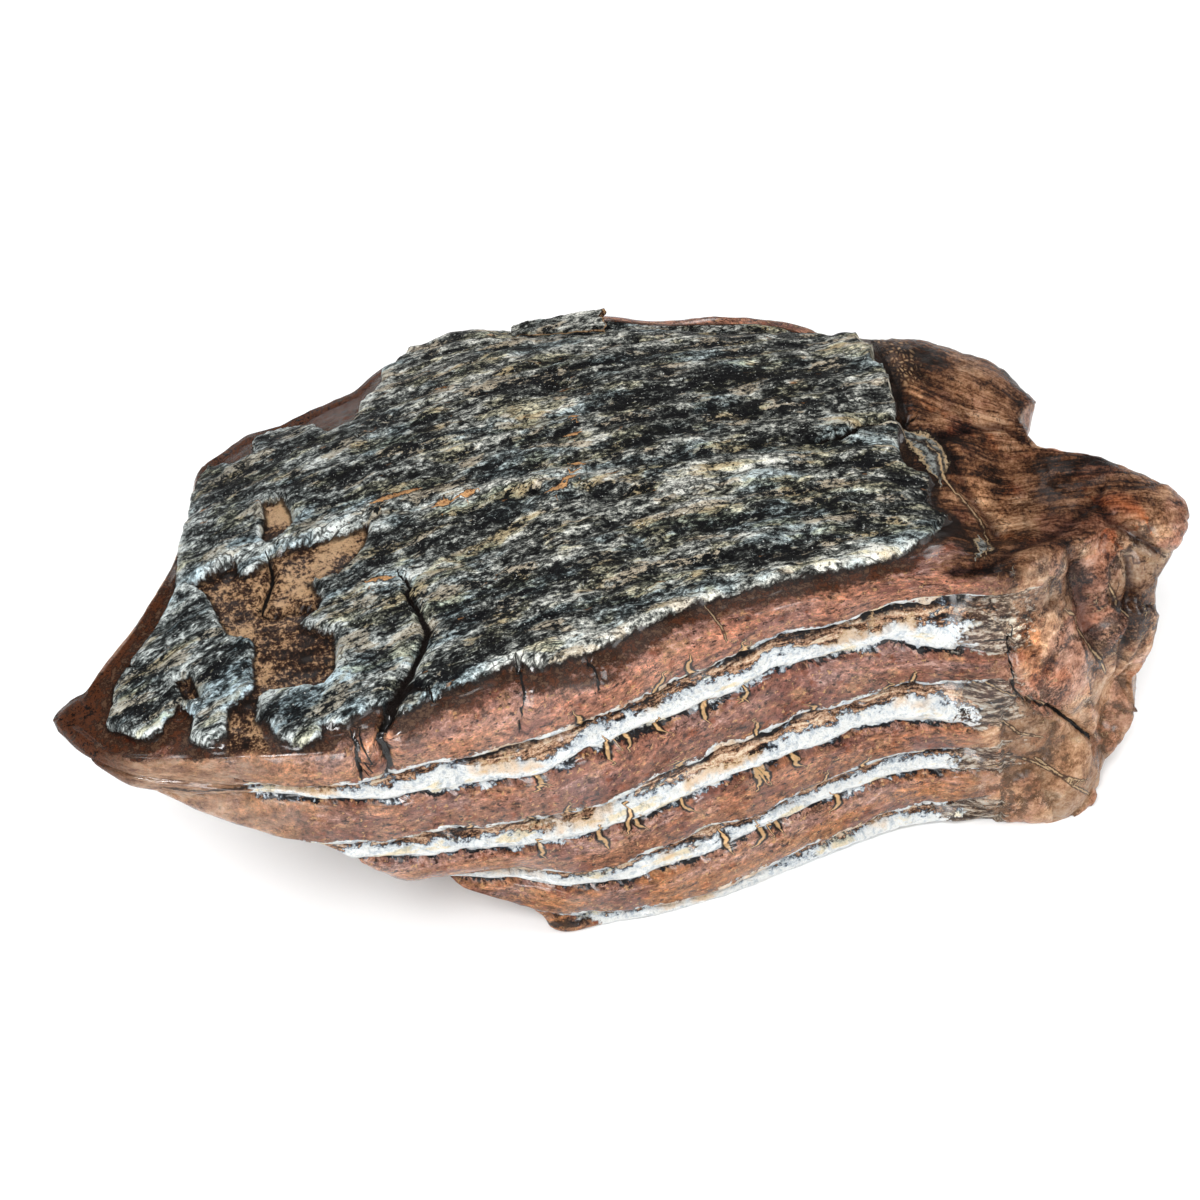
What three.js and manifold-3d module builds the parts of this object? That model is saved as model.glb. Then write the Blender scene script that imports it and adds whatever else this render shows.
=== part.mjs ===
// A fossil mammoth molar: a broken block of the tooth, lying on one of its plates.
// The plates are stacked upwards. X runs along them, from the worn crown tip to the roots,
// Y runs across the tooth and Z up the stack. Lengths are in millimetres.
import * as THREE from "three";
import { ImprovedNoise } from "three/addons/math/ImprovedNoise.js";
import { mergeVertices } from "three/addons/utils/BufferGeometryUtils.js";
import Module from "manifold-3d";

const wasm = await Module();
wasm.setup();

// The block before it is bent to shape, and the steps that its faces are cut into.
const BLOCK = { length: 170, width: 80, height: 56 };
const STEPS = { along: 33, across: 26, perBand: 3 };

// How far each corner is rounded, at the low and high end of each axis.
const ROUND = { crown: 4, root: 7, near: 2, far: 8, base: 2.5, rim: 3.5 };

// Outlines seen from above, as [x, y] knots. The near side is the one with y below 0.
const NEAR_TOP = [
  [-88, -12], [-82, -20], [-76, -24.5], [-66, -29], [-52, -33.5], [-38, -33],
  [-14, -32], [3, -29.5], [35, -30], [50, -33.5], [62, -31.5], [74, -29], [90, -28],
];
const NEAR_BASE = [
  [-88, -26], [-56, -28], [-40, -31], [-20, -34], [0, -36.2], [14, -36], [31, -34.3],
  [44, -34.2], [57, -38.5], [66, -40], [76, -36], [90, -34],
];
const FAR_TOP = [
  [-88, 32], [-53, 36], [-43, 41.5], [-30, 46], [-17, 50], [-2, 52], [18, 49],
  [33, 42], [45, 37], [57, 28.5], [68, 22], [76, 13], [90, 8],
];
const FAR_BASE = [
  [-88, 26], [-30, 36], [0, 43], [25, 41], [50, 31], [70, 20], [90, 12],
];

// The two ends, as [share of the width, x] knots, and the way from their base to their top,
// as [share of the height, share of the way] knots.
const CROWN_TOP = [
  [0, -88], [0.1, -86], [0.2, -82.8], [0.36, -76], [0.59, -65.8], [0.72, -61],
  [0.82, -58.5], [1, -55],
];
const CROWN_BASE = [[0, -20], [0.5, -14], [1, -6]];
const CROWN_WEAR = [[0, 0], [0.25, 0.26], [0.5, 0.44], [0.625, 0.61], [0.75, 0.84], [1, 1]];
const ROOT_TOP = [
  [0, 84], [0.1, 85.3], [0.22, 84], [0.37, 79], [0.5, 72], [0.6, 71.5], [0.78, 76.5], [1, 74],
];
const ROOT_BASE = [[0, 74], [0.25, 78], [0.55, 71], [0.8, 72], [1, 66]];
const ROOT_TAPER = [[0, 0], [0.08, 0.1], [0.18, 0.6], [0.4, 0.72], [0.6, 0.72], [0.78, 0.65], [0.9, 1], [1, 1]];

// Levels of the seams between the bands, as [x, z] knots, from the base up to the rim.
// Enamel lies between seams 0-1, 2-3, 4-5 and 6-7, and cement between the others.
const SEAMS = [
  [[-88, 0], [90, 0]],
  [[-35, 9], [-20, 6], [-10, 3.8], [3, 2.6], [14, 3.8], [28, 6.2], [40, 7], [90, 7]],
  [[-50, 22], [-38, 17.5], [-27, 14], [-18, 12], [-8, 10.4], [2, 10.6], [10, 12.4], [25, 15],
    [35, 15.4], [50, 13.8], [90, 13]],
  [[-55, 26], [-42, 22.3], [-30, 19.1], [-20, 16.5], [-10, 15.3], [2, 17.3], [12, 17.7],
    [25, 20], [37, 21.2], [50, 20.5], [90, 20]],
  [[-60, 31], [-45, 29.2], [-38, 27.5], [-30, 25.7], [-20, 23.4], [-5, 23.5], [10, 25.8],
    [28, 27.8], [40, 27], [50, 25], [90, 25]],
  [[-65, 37], [-53, 35.4], [-38, 33.2], [-22, 30.3], [-10, 30], [0, 32.5], [17, 34.8],
    [30, 35.3], [45, 36], [90, 35]],
  [[-80, 49.4], [-70, 48.3], [-58, 46.2], [-50, 44], [-43, 41.4], [-30, 39.5], [-22, 38.7],
    [-14, 41], [0, 42], [10, 43], [18, 45.3], [28, 44.4], [40, 42.5], [50, 40], [90, 39]],
  [[-80, 51.5], [-65, 50.5], [-50, 48.8], [-35, 47.6], [-22, 46.6], [-8, 48.3], [6, 49.6],
    [18, 52], [26, 51.2], [36, 53], [50, 52], [90, 48]],
  [[-88, 53], [-76, 54.5], [-60, 56], [50, 56], [62, 55], [76, 53.2], [90, 50]],
];
const BANDS = SEAMS.length - 1;
const BAND_ROWS = [0, 0.14, 0.86, 1]; // steep at each seam, flat between them
const CEMENT_PROUD = 0.9;
const ENAMEL_SUNK = { low: 0.2, high: 1.8 }; // each enamel band slopes in under the cement above it
const ROOT_START = 46; // where the bands die out into the roots
const ROOT_BLEND = 10;

// The enamel of the uppermost plate: a sheet on the darker dentine, with ragged edges.
const SHEET = { thickness: 1.6, ridgeHeight: 0.7, ridges: 9, floor: 42, ceiling: 80 };
const SHEET_EDGE = [
  [-76, -5], [-67, 5], [-61, 14], [-57, 23], [-53, 31], [-46, 36.5], [-40, 34.5], [-37, 38],
  [-28, 36.5], [-24, 41], [-17, 45.5], [-3, 48], [15, 45], [31, 38.5], [44, 33], [50, 26],
  [48, 17], [50, 8], [44, 6], [44, 0], [48, -5], [47, -14], [44, -20], [37, -27], [28, -26],
  [12, -25], [-2, -26], [-14, -28], [-24, -27], [-33, -28], [-41, -29], [-47, -31], [-53, -29],
  [-59, -31], [-66, -27], [-72, -27], [-78, -22], [-80, -15], [-77, -9],
];
// Places where the sheet has flaked off.
const FLAKES = [
  [[-66, 2], [-58, 4], [-52, 6], [-43, 8], [-36, 9.5], [-40, 4], [-46, 0.5], [-49, -3],
    [-49, -9], [-45, -13], [-47, -19], [-54, -19], [-59, -21], [-61, -26], [-64, -27],
    [-65, -20], [-62, -13], [-62, -8], [-66, -4]],
  [[-51, 17], [-48, 18], [-47.5, 14], [-49, 11], [-51.5, 10], [-51, 14]],
  [[-35, 13], [-27, 15.5], [-27, 13.5], [-34, 11.5]],
];
// The open crack across the sheet and down the near side, as [x, y] and its width.
const CRACK = {
  route: [[-34, -2], [-34, -6], [-33, -10], [-37, -18], [-41, -25], [-44, -30], [-44.5, -37]],
  width: 1.5,
  top: 70,
  foot: 50,
};
// A splinter of the sheet that has lifted on the far edge.
const SPLINTER = { length: 15, width: 5, height: 2.4, at: [9, 44.2, 52.8], turn: -0.29, tip: 0.1 };

// Lumps and hollows of the roots: where, how wide, and how far out or in.
const LUMPS = [
  { at: [80, -24, 52], radius: 9, push: 2.5 },
  { at: [60, 17, 54], radius: 13, push: 3.5 },
  { at: [59, -17, 55], radius: 12, push: -4.5 },
  { at: [68, -8, 52], radius: 8, push: -2.2 },
  { at: [58, -31, 54], radius: 6, push: 2 },
  { at: [55, -25, 55], radius: 4.5, push: -2 },
  { at: [73, -31, 50], radius: 4.5, push: -3 },
  { at: [67, -33, 47], radius: 4, push: -2 },
  { at: [69, -35, 38], radius: 5, push: -2.5 },
  { at: [72, -35, 28], radius: 5, push: -1.5 },
  { at: [78, -33, 36], radius: 8, push: 1.5 },
  { at: [56, -36, 30], radius: 12, push: 1.2 },
  { at: [66, -38, 18], radius: 4, push: -2 },
  { at: [75, -37, 10], radius: 5, push: -3.5 },
  { at: [66, -40, 4], radius: 9, push: 2 },
  { at: [80, 4, 30], radius: 9, push: -4 },
  { at: [73, -5, 42], radius: 8, push: -2.5 },
];
const ROUGHNESS = { size: 9, height: 0.45 };

// A smooth line through [x, y] knots, level beyond its ends.
function line(knots) {
  const slope = knots.map((_, i) => {
    const [before, after] = [knots[Math.max(i - 1, 0)], knots[Math.min(i + 1, knots.length - 1)]];
    return i === 0 || i === knots.length - 1 ? 0 : (after[1] - before[1]) / (after[0] - before[0]);
  });
  return (x) => {
    if (x <= knots[0][0]) return knots[0][1];
    const i = knots.findIndex((k) => k[0] > x);
    if (i < 0) return knots[knots.length - 1][1];
    const [[x0, y0], [x1, y1]] = [knots[i - 1], knots[i]];
    const span = x1 - x0;
    const t = (x - x0) / span;
    const [t2, t3] = [t * t, t * t * t];
    return (
      y0 * (2 * t3 - 3 * t2 + 1) + y1 * (3 * t2 - 2 * t3) +
      span * (slope[i - 1] * (t3 - 2 * t2 + t) + slope[i] * (t3 - t2))
    );
  };
}

const { lerp, smoothstep, clamp } = THREE.MathUtils;
const nearTop = line(NEAR_TOP);
const nearBase = line(NEAR_BASE);
const farTop = line(FAR_TOP);
const farBase = line(FAR_BASE);
const crownTop = line(CROWN_TOP);
const crownBase = line(CROWN_BASE);
const rootTop = line(ROOT_TOP);
const rootBase = line(ROOT_BASE);
const crownWear = line(CROWN_WEAR);
const rootTaper = line(ROOT_TAPER);
const seams = SEAMS.map(line);

// The height of the stack at x, for a share of the bands counted from the base.
function level(x, share) {
  const band = Math.min(Math.floor(share * BANDS), BANDS - 1);
  return lerp(seams[band](x), seams[band + 1](x), share * BANDS - band);
}

// Bends a point of the block, given as shares of its length, width and height.
function bend(along, across, up) {
  const x = lerp(
    lerp(crownBase(across), crownTop(across), crownWear(up)),
    lerp(rootBase(across), rootTop(across), rootTaper(up)),
    along,
  );
  const bulge = 1.6 * Math.sin(Math.PI * up);
  const y = lerp(
    lerp(nearBase(x), nearTop(x), up) - bulge,
    lerp(farBase(x), farTop(x), up) + 2 * bulge,
    across,
  );
  const dome = 1.5 * Math.sin(Math.PI * across) - 6 * smoothstep(across, 0.62, 1.05);
  return new THREE.Vector3(x, y, level(x, up) + dome * up * up);
}

// Rounds a corner of the block: the point moves on to an ellipse inside it.
function rounded(p) {
  const sizes = [BLOCK.length, BLOCK.width, BLOCK.height];
  const low = [ROUND.crown, ROUND.near, ROUND.base];
  const high = [ROUND.root, ROUND.far, ROUND.rim];
  const inner = p.map((v, i) => clamp(v, low[i], sizes[i] - high[i]));
  const reach = p.map((v, i) => (v < inner[i] ? low[i] : high[i]));
  const out = p.map((v, i) => (v - inner[i]) / reach[i]);
  const size = Math.hypot(...out);
  return inner.map((v, i) => (v + (out[i] / size) * reach[i]) / sizes[i]);
}

// Share of the stack for an even count of rows, three to a band and closest at the seams.
function rowShare(row) {
  const band = Math.min(Math.floor(row / STEPS.perBand), BANDS - 1);
  return (band + BAND_ROWS[row - band * STEPS.perBand]) / BANDS;
}

const noise = new ImprovedNoise();

// How far the surface stands out at a point, from the bands, lumps and roughness.
function relief(point, share, onSide) {
  const band = Math.min(Math.floor(share * BANDS), BANDS - 1);
  const within = share * BANDS - band;
  const inBand = smoothstep(Math.min(within, 1 - within), 0.02, 0.14);
  const fade = 1 - smoothstep(point.x, ROOT_START - ROOT_BLEND, ROOT_START + ROOT_BLEND);
  const step = band % 2 ? CEMENT_PROUD : -lerp(ENAMEL_SUNK.low, ENAMEL_SUNK.high, within);
  let out = step * inBand * fade * onSide;
  for (const lump of LUMPS) {
    const gap = point.distanceTo(new THREE.Vector3(...lump.at)) / lump.radius;
    out += lump.push * Math.exp(-gap * gap);
  }
  const [x, y, z] = point.clone().divideScalar(ROUGHNESS.size).toArray();
  return out + ROUGHNESS.height * (noise.noise(x * 0.6, y, z) + 0.5 * noise.noise(x * 2, y * 2, z * 2));
}

// The whole block bent to the tooth's form, with its upper face raised by some amount.
function toothForm(raised, ridgeHeight) {
  const rows = BANDS * STEPS.perBand;
  const box = new THREE.BoxGeometry(1, 1, 1, STEPS.along, STEPS.across, rows);
  box.deleteAttribute("normal");
  box.deleteAttribute("uv");
  const form = mergeVertices(box, 1e-5);
  const place = form.getAttribute("position");
  const shares = [];
  for (let i = 0; i < place.count; i++) {
    const flat = [
      (place.getX(i) + 0.5) * BLOCK.length,
      (place.getY(i) + 0.5) * BLOCK.width,
      rowShare(Math.round((place.getZ(i) + 0.5) * rows)) * BLOCK.height,
    ];
    const share = rounded(flat);
    shares.push(share);
    place.setXYZ(i, ...bend(...share));
  }
  form.computeVertexNormals();
  const normal = form.getAttribute("normal");
  const point = new THREE.Vector3();
  const facing = new THREE.Vector3();
  for (let i = 0; i < place.count; i++) {
    const [, across, up] = shares[i];
    point.fromBufferAttribute(place, i);
    facing.fromBufferAttribute(normal, i);
    const onSide = smoothstep(1 - Math.abs(facing.z), 0.25, 0.5);
    const onTop = smoothstep(facing.z, 0.5, 0.8) * smoothstep(up, 0.9, 0.97);
    const sway = noise.noise(point.x / 30, across * 4, 5);
    const ridge = Math.cos(2 * Math.PI * (SHEET.ridges * across + sway)) * (0.5 + sway) * ridgeHeight;
    point.addScaledVector(facing, relief(point, up, onSide) + onTop * (raised + ridge));
    place.setXYZ(i, point.x, point.y, up > 0 ? Math.max(point.z, 0) : 0);
  }
  form.deleteAttribute("normal");
  return solid(form);
}

function solid(geometry) {
  geometry.deleteAttribute("normal");
  geometry.deleteAttribute("uv");
  const merged = mergeVertices(geometry, 1e-4);
  return new wasm.Manifold(
    new wasm.Mesh({
      numProp: 3,
      vertProperties: merged.getAttribute("position").array,
      triVerts: new Uint32Array(merged.index.array),
    }),
  );
}

// A straight-sided prism over an outline seen from above.
function prism(outline, floor, ceiling) {
  const shape = new THREE.Shape(outline.map(([x, y]) => new THREE.Vector2(x, y)));
  const body = new THREE.ExtrudeGeometry(shape, { depth: ceiling - floor, bevelEnabled: false });
  return solid(body.translate(0, 0, floor));
}

// The outline of a crack: out along one side of its route and back along the other.
function crackOutline({ route, width }) {
  const offset = (sign) => route.map(([x, y], i) => {
    const taper = Math.sin((Math.PI * (i + 0.4)) / (route.length + 0.4));
    return [x + (sign * width * taper) / 2, y];
  });
  return [...offset(-1), ...offset(1).reverse()];
}

function enamelSheet() {
  let sheet = prism(SHEET_EDGE, SHEET.floor, SHEET.ceiling);
  for (const flake of FLAKES) sheet = sheet.subtract(prism(flake, SHEET.floor - 1, SHEET.ceiling + 1));
  return sheet.intersect(toothForm(SHEET.thickness, SHEET.ridgeHeight));
}

function splinter() {
  const { length, width, height, at, turn, tip } = SPLINTER;
  const chip = new THREE.BoxGeometry(length, width, height, 4, 2, 1);
  const place = chip.getAttribute("position");
  for (let i = 0; i < place.count; i++) {
    const along = place.getX(i) / length + 0.5;
    place.setY(i, place.getY(i) * lerp(0.35, 1, along));
    place.setZ(i, place.getZ(i) + noise.noise(place.getX(i), place.getY(i), 0) * 0.5);
  }
  chip.rotateY(-tip).rotateZ(turn).translate(...at);
  return solid(chip);
}

function tooth() {
  const body = toothForm(0, 0).add(enamelSheet()).add(splinter());
  const cracked = body.subtract(prism(crackOutline(CRACK), CRACK.foot, CRACK.top));
  const { vertProperties, triVerts } = cracked.asOriginal().simplify(0.01).getMesh();
  const geometry = new THREE.BufferGeometry();
  geometry.setAttribute("position", new THREE.BufferAttribute(vertProperties, 3));
  geometry.setIndex(new THREE.BufferAttribute(triVerts, 1));
  geometry.computeBoundingBox();
  const middle = geometry.boundingBox.getCenter(new THREE.Vector3());
  geometry.translate(-middle.x, -middle.y, 0);
  geometry.computeVertexNormals();
  const fossil = new THREE.MeshStandardMaterial({ color: 0x80583f, roughness: 0.5, metalness: 0 });
  const mesh = new THREE.Mesh(geometry, fossil);
  mesh.name = "tooth";
  return mesh;
}

const fossilTooth = new THREE.Group();
fossilTooth.add(tooth());

export default fossilTooth;
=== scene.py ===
"""Fossil mammoth tooth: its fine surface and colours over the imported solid, in a plain studio."""
import math
import bmesh
import bpy
import numpy as np
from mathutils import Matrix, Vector, noise


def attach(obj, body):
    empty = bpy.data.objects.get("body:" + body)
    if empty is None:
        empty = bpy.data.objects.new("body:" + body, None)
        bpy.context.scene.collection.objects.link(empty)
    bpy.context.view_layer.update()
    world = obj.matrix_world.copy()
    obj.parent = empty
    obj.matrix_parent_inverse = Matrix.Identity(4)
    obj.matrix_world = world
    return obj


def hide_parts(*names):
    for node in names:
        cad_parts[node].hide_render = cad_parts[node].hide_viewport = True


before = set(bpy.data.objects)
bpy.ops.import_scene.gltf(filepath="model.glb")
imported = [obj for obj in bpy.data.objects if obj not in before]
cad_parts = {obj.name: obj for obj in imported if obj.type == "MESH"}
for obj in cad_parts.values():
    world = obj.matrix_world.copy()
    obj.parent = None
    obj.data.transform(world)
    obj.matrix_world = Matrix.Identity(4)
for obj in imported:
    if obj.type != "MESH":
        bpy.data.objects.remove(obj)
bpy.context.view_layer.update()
# The tilts of the facets come from this seed, so each run gives the same stone.
noise.seed_set(1)
MM = 0.001
# The value of a field of distances where no line is near.
NO_LINE = 9.0
# How strongly the streaks along the plates bow, per mm.
BOW = 0.0024

# The block before it is bent to shape, in mm: X along the plates, Y across, Z up the stack.
BLOCK = np.array([170.0, 80.0, 56.0])
CUTS = (240, 120, 86)
ROUND_LOW = np.array([4.0, 2.0, 2.5])
ROUND_HIGH = np.array([7.0, 8.0, 3.5])
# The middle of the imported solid's box, in the same mm.
MIDDLE = np.array([-0.212, 5.590, 0.0])

# Outlines seen from above, as (x, y) knots. The near side is the one with y below 0.
NEAR_TOP = [
    (-88, -12), (-82, -20), (-76, -24.5), (-66, -29), (-52, -33.5), (-38, -33),
    (-14, -32), (3, -29.5), (35, -30), (50, -33.5), (62, -31.5), (74, -29), (90, -28),
]
NEAR_BASE = [
    (-88, -26), (-56, -28), (-40, -31), (-20, -34), (0, -36.2), (14, -36), (31, -34.3),
    (44, -34.2), (57, -38.5), (66, -40), (76, -36), (90, -34),
]
FAR_TOP = [
    (-88, 32), (-53, 36), (-43, 41.5), (-30, 46), (-17, 50), (-2, 52), (18, 49),
    (33, 42), (45, 37), (57, 28.5), (68, 22), (76, 13), (90, 8),
]
FAR_BASE = [(-88, 26), (-30, 36), (0, 43), (25, 41), (50, 31), (70, 20), (90, 12)]

# The two ends, as (share of the width, x) knots, and how far each has come at a share of the height.
CROWN_TOP = [
    (0, -88), (0.1, -86), (0.2, -82.8), (0.36, -76), (0.59, -65.8), (0.72, -61), (0.82, -58.5), (1, -55),
]
CROWN_BASE = [(0, -20), (0.5, -14), (1, -6)]
CROWN_WEAR = [(0, 0), (0.25, 0.26), (0.5, 0.44), (0.625, 0.61), (0.75, 0.84), (1, 1)]
ROOT_TOP = [
    (0, 84), (0.1, 85.3), (0.22, 84), (0.37, 79), (0.5, 72), (0.6, 71.5), (0.78, 76.5), (1, 74),
]
ROOT_BASE = [(0, 74), (0.25, 78), (0.55, 71), (0.8, 72), (1, 66)]
ROOT_TAPER = [
    (0, 0), (0.08, 0.1), (0.18, 0.6), (0.4, 0.72), (0.6, 0.72), (0.78, 0.65), (0.9, 1), (1, 1),
]

# Levels of the seams between the bands, as (x, z) knots, from the base up to the rim.
SEAMS = [
    [(-88, 0), (90, 0)],
    [(-35, 9), (-20, 6), (-10, 3.8), (3, 2.6), (14, 3.8), (28, 6.2), (40, 7), (90, 7)],
    [(-50, 22), (-38, 17.5), (-27, 14), (-18, 12), (-8, 10.4), (2, 10.6), (10, 12.4), (25, 15),
     (35, 15.4), (50, 13.8), (90, 13)],
    [(-55, 26), (-42, 22.3), (-30, 19.1), (-20, 16.5), (-10, 15.3), (2, 17.3), (12, 17.7),
     (25, 20), (37, 21.2), (50, 20.5), (90, 20)],
    [(-60, 31), (-45, 29.2), (-38, 27.5), (-30, 25.7), (-20, 23.4), (-5, 23.5), (10, 25.8),
     (28, 27.8), (40, 27), (50, 25), (90, 25)],
    [(-65, 37), (-53, 35.4), (-38, 33.2), (-22, 30.3), (-10, 30), (0, 32.5), (17, 34.8),
     (30, 35.3), (45, 36), (90, 35)],
    [(-80, 49.4), (-70, 48.3), (-58, 46.2), (-50, 44), (-43, 41.4), (-30, 39.5), (-22, 38.7),
     (-14, 41), (0, 42), (10, 43), (18, 45.3), (28, 44.4), (40, 42.5), (50, 40), (90, 39)],
    [(-80, 51.5), (-65, 50.5), (-50, 48.8), (-35, 47.6), (-22, 46.6), (-8, 48.3), (6, 49.6),
     (18, 52), (26, 51.2), (36, 53), (50, 52), (90, 48)],
    [(-88, 53), (-76, 54.5), (-60, 56), (50, 56), (62, 55), (76, 53.2), (90, 50)],
]
BANDS = len(SEAMS) - 1

# How far a band stands out, in mm, by the share of its height from its lower seam.
ENAMEL_PROFILE = [
    (0, 0.3), (0.03, -1.0), (0.07, -0.3), (0.16, 0.35), (0.32, 0.4), (0.43, -0.5), (0.55, -1.3),
    (0.7, -1.6), (0.82, -2.7), (0.88, -2.3), (0.93, -0.7), (0.96, 0.5), (1, 0.75),
]
CEMENT_PROFILE = [(0, 0.5), (0.05, 0.85), (0.25, 1.05), (0.75, 1.05), (0.94, 0.8), (1, 0.3)]
# Where the white enamel of each pair begins on the sides, as (band, x).
PAIR_START = [(0, -14), (2, -38), (4, -53), (6, -63), (8, -66)]
ROOT_START = 49
ROOT_BLEND = 8

# The enamel sheet of the uppermost plate, seen from above, and the places where it has flaked off.
SHEET_THICKNESS = 1.5
SHEET_EDGE = [
    (-80.6, -17.6), (-75.6, -22.2), (-73.6, -22), (-72.2, -20.4), (-69.8, -18.1), (-68.5, -21.3),
    (-70, -25), (-68.1, -26.8), (-65.2, -26.2), (-60.6, -25.3), (-58.9, -26.6), (-58.4, -29.9),
    (-56, -31.6), (-53.1, -31.4), (-52.1, -29.3), (-49.4, -30.3), (-43.5, -28.1), (-41, -30.8),
    (-37.7, -29.9), (-31.2, -28.9), (-25.3, -28.1), (-22.3, -27.5), (-21, -29.4), (-17.4, -29.7),
    (-12.9, -29.1), (-8.8, -28.7), (-4.3, -27.1), (0, -26.2), (5.9, -25.5), (12.6, -25.1),
    (20.5, -25.5), (30.3, -26.3), (38, -26.2), (44, -24.2), (49, -20), (46.5, -17), (49.5, -11.6),
    (46.3, -9.8), (47.4, -4.2), (49.6, 1.7), (50.9, 6.2), (51.1, 12.9), (52.1, 20.6), (53.3, 30),
    (45, 39), (33, 45), (20, 52), (5, 55), (-10, 53), (-21, 45), (-21.9, 42), (-24.1, 39.3),
    (-27.5, 35.2), (-29.6, 31.2), (-34.1, 29.6), (-35, 32.1), (-37, 36.4), (-40.8, 39),
    (-45.3, 34.4), (-45.7, 30.7), (-49.3, 29.3), (-52.9, 33), (-58, 23), (-62, 14), (-66.1, 2.5),
    (-68.5, -1), (-71, -3.9), (-73.6, -7), (-77.4, -11.1), (-79.3, -16.1),
]
FLAKES = [
    [(-64.2, 2.5), (-60.4, 3.4), (-55.6, 4.8), (-55.8, 1.7), (-53.6, 1.6), (-50.5, 4.1), (-44.5, 4.4),
     (-38.5, 4.7), (-34.6, 5.7), (-35.9, 2.5), (-38.9, -0.8), (-42, -3.2), (-46.5, -3), (-45.3, -6.6),
     (-47.1, -8.8), (-50, -10.7), (-45.7, -13.9), (-47.5, -20.5), (-50, -22.8), (-54.5, -21.4),
     (-59.1, -21.5), (-60.6, -25.3), (-60, -31), (-66, -31), (-65.2, -26.2), (-63.9, -21.8),
     (-60.8, -20.6), (-59.3, -19.5), (-58.5, -15.6), (-57.6, -13.4), (-57.3, -11.3), (-60.7, -9),
     (-61.5, -5.8), (-62.4, 0.2)],
    [(-48.4, 16.2), (-45.2, 15.2), (-45.0, 11.8), (-45.2, 9.6), (-47.4, 7.2), (-50.4, 6.4),
     (-51, 8), (-49.4, 11)],
    [(-69.5, -14), (-67, -14.5), (-66.8, -19), (-69, -18)],
    [(3.2, 43.6), (8, 41.4), (14.8, 39.0), (16.4, 40.2), (15, 42), (9, 43.8), (4, 45)],
]

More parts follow.
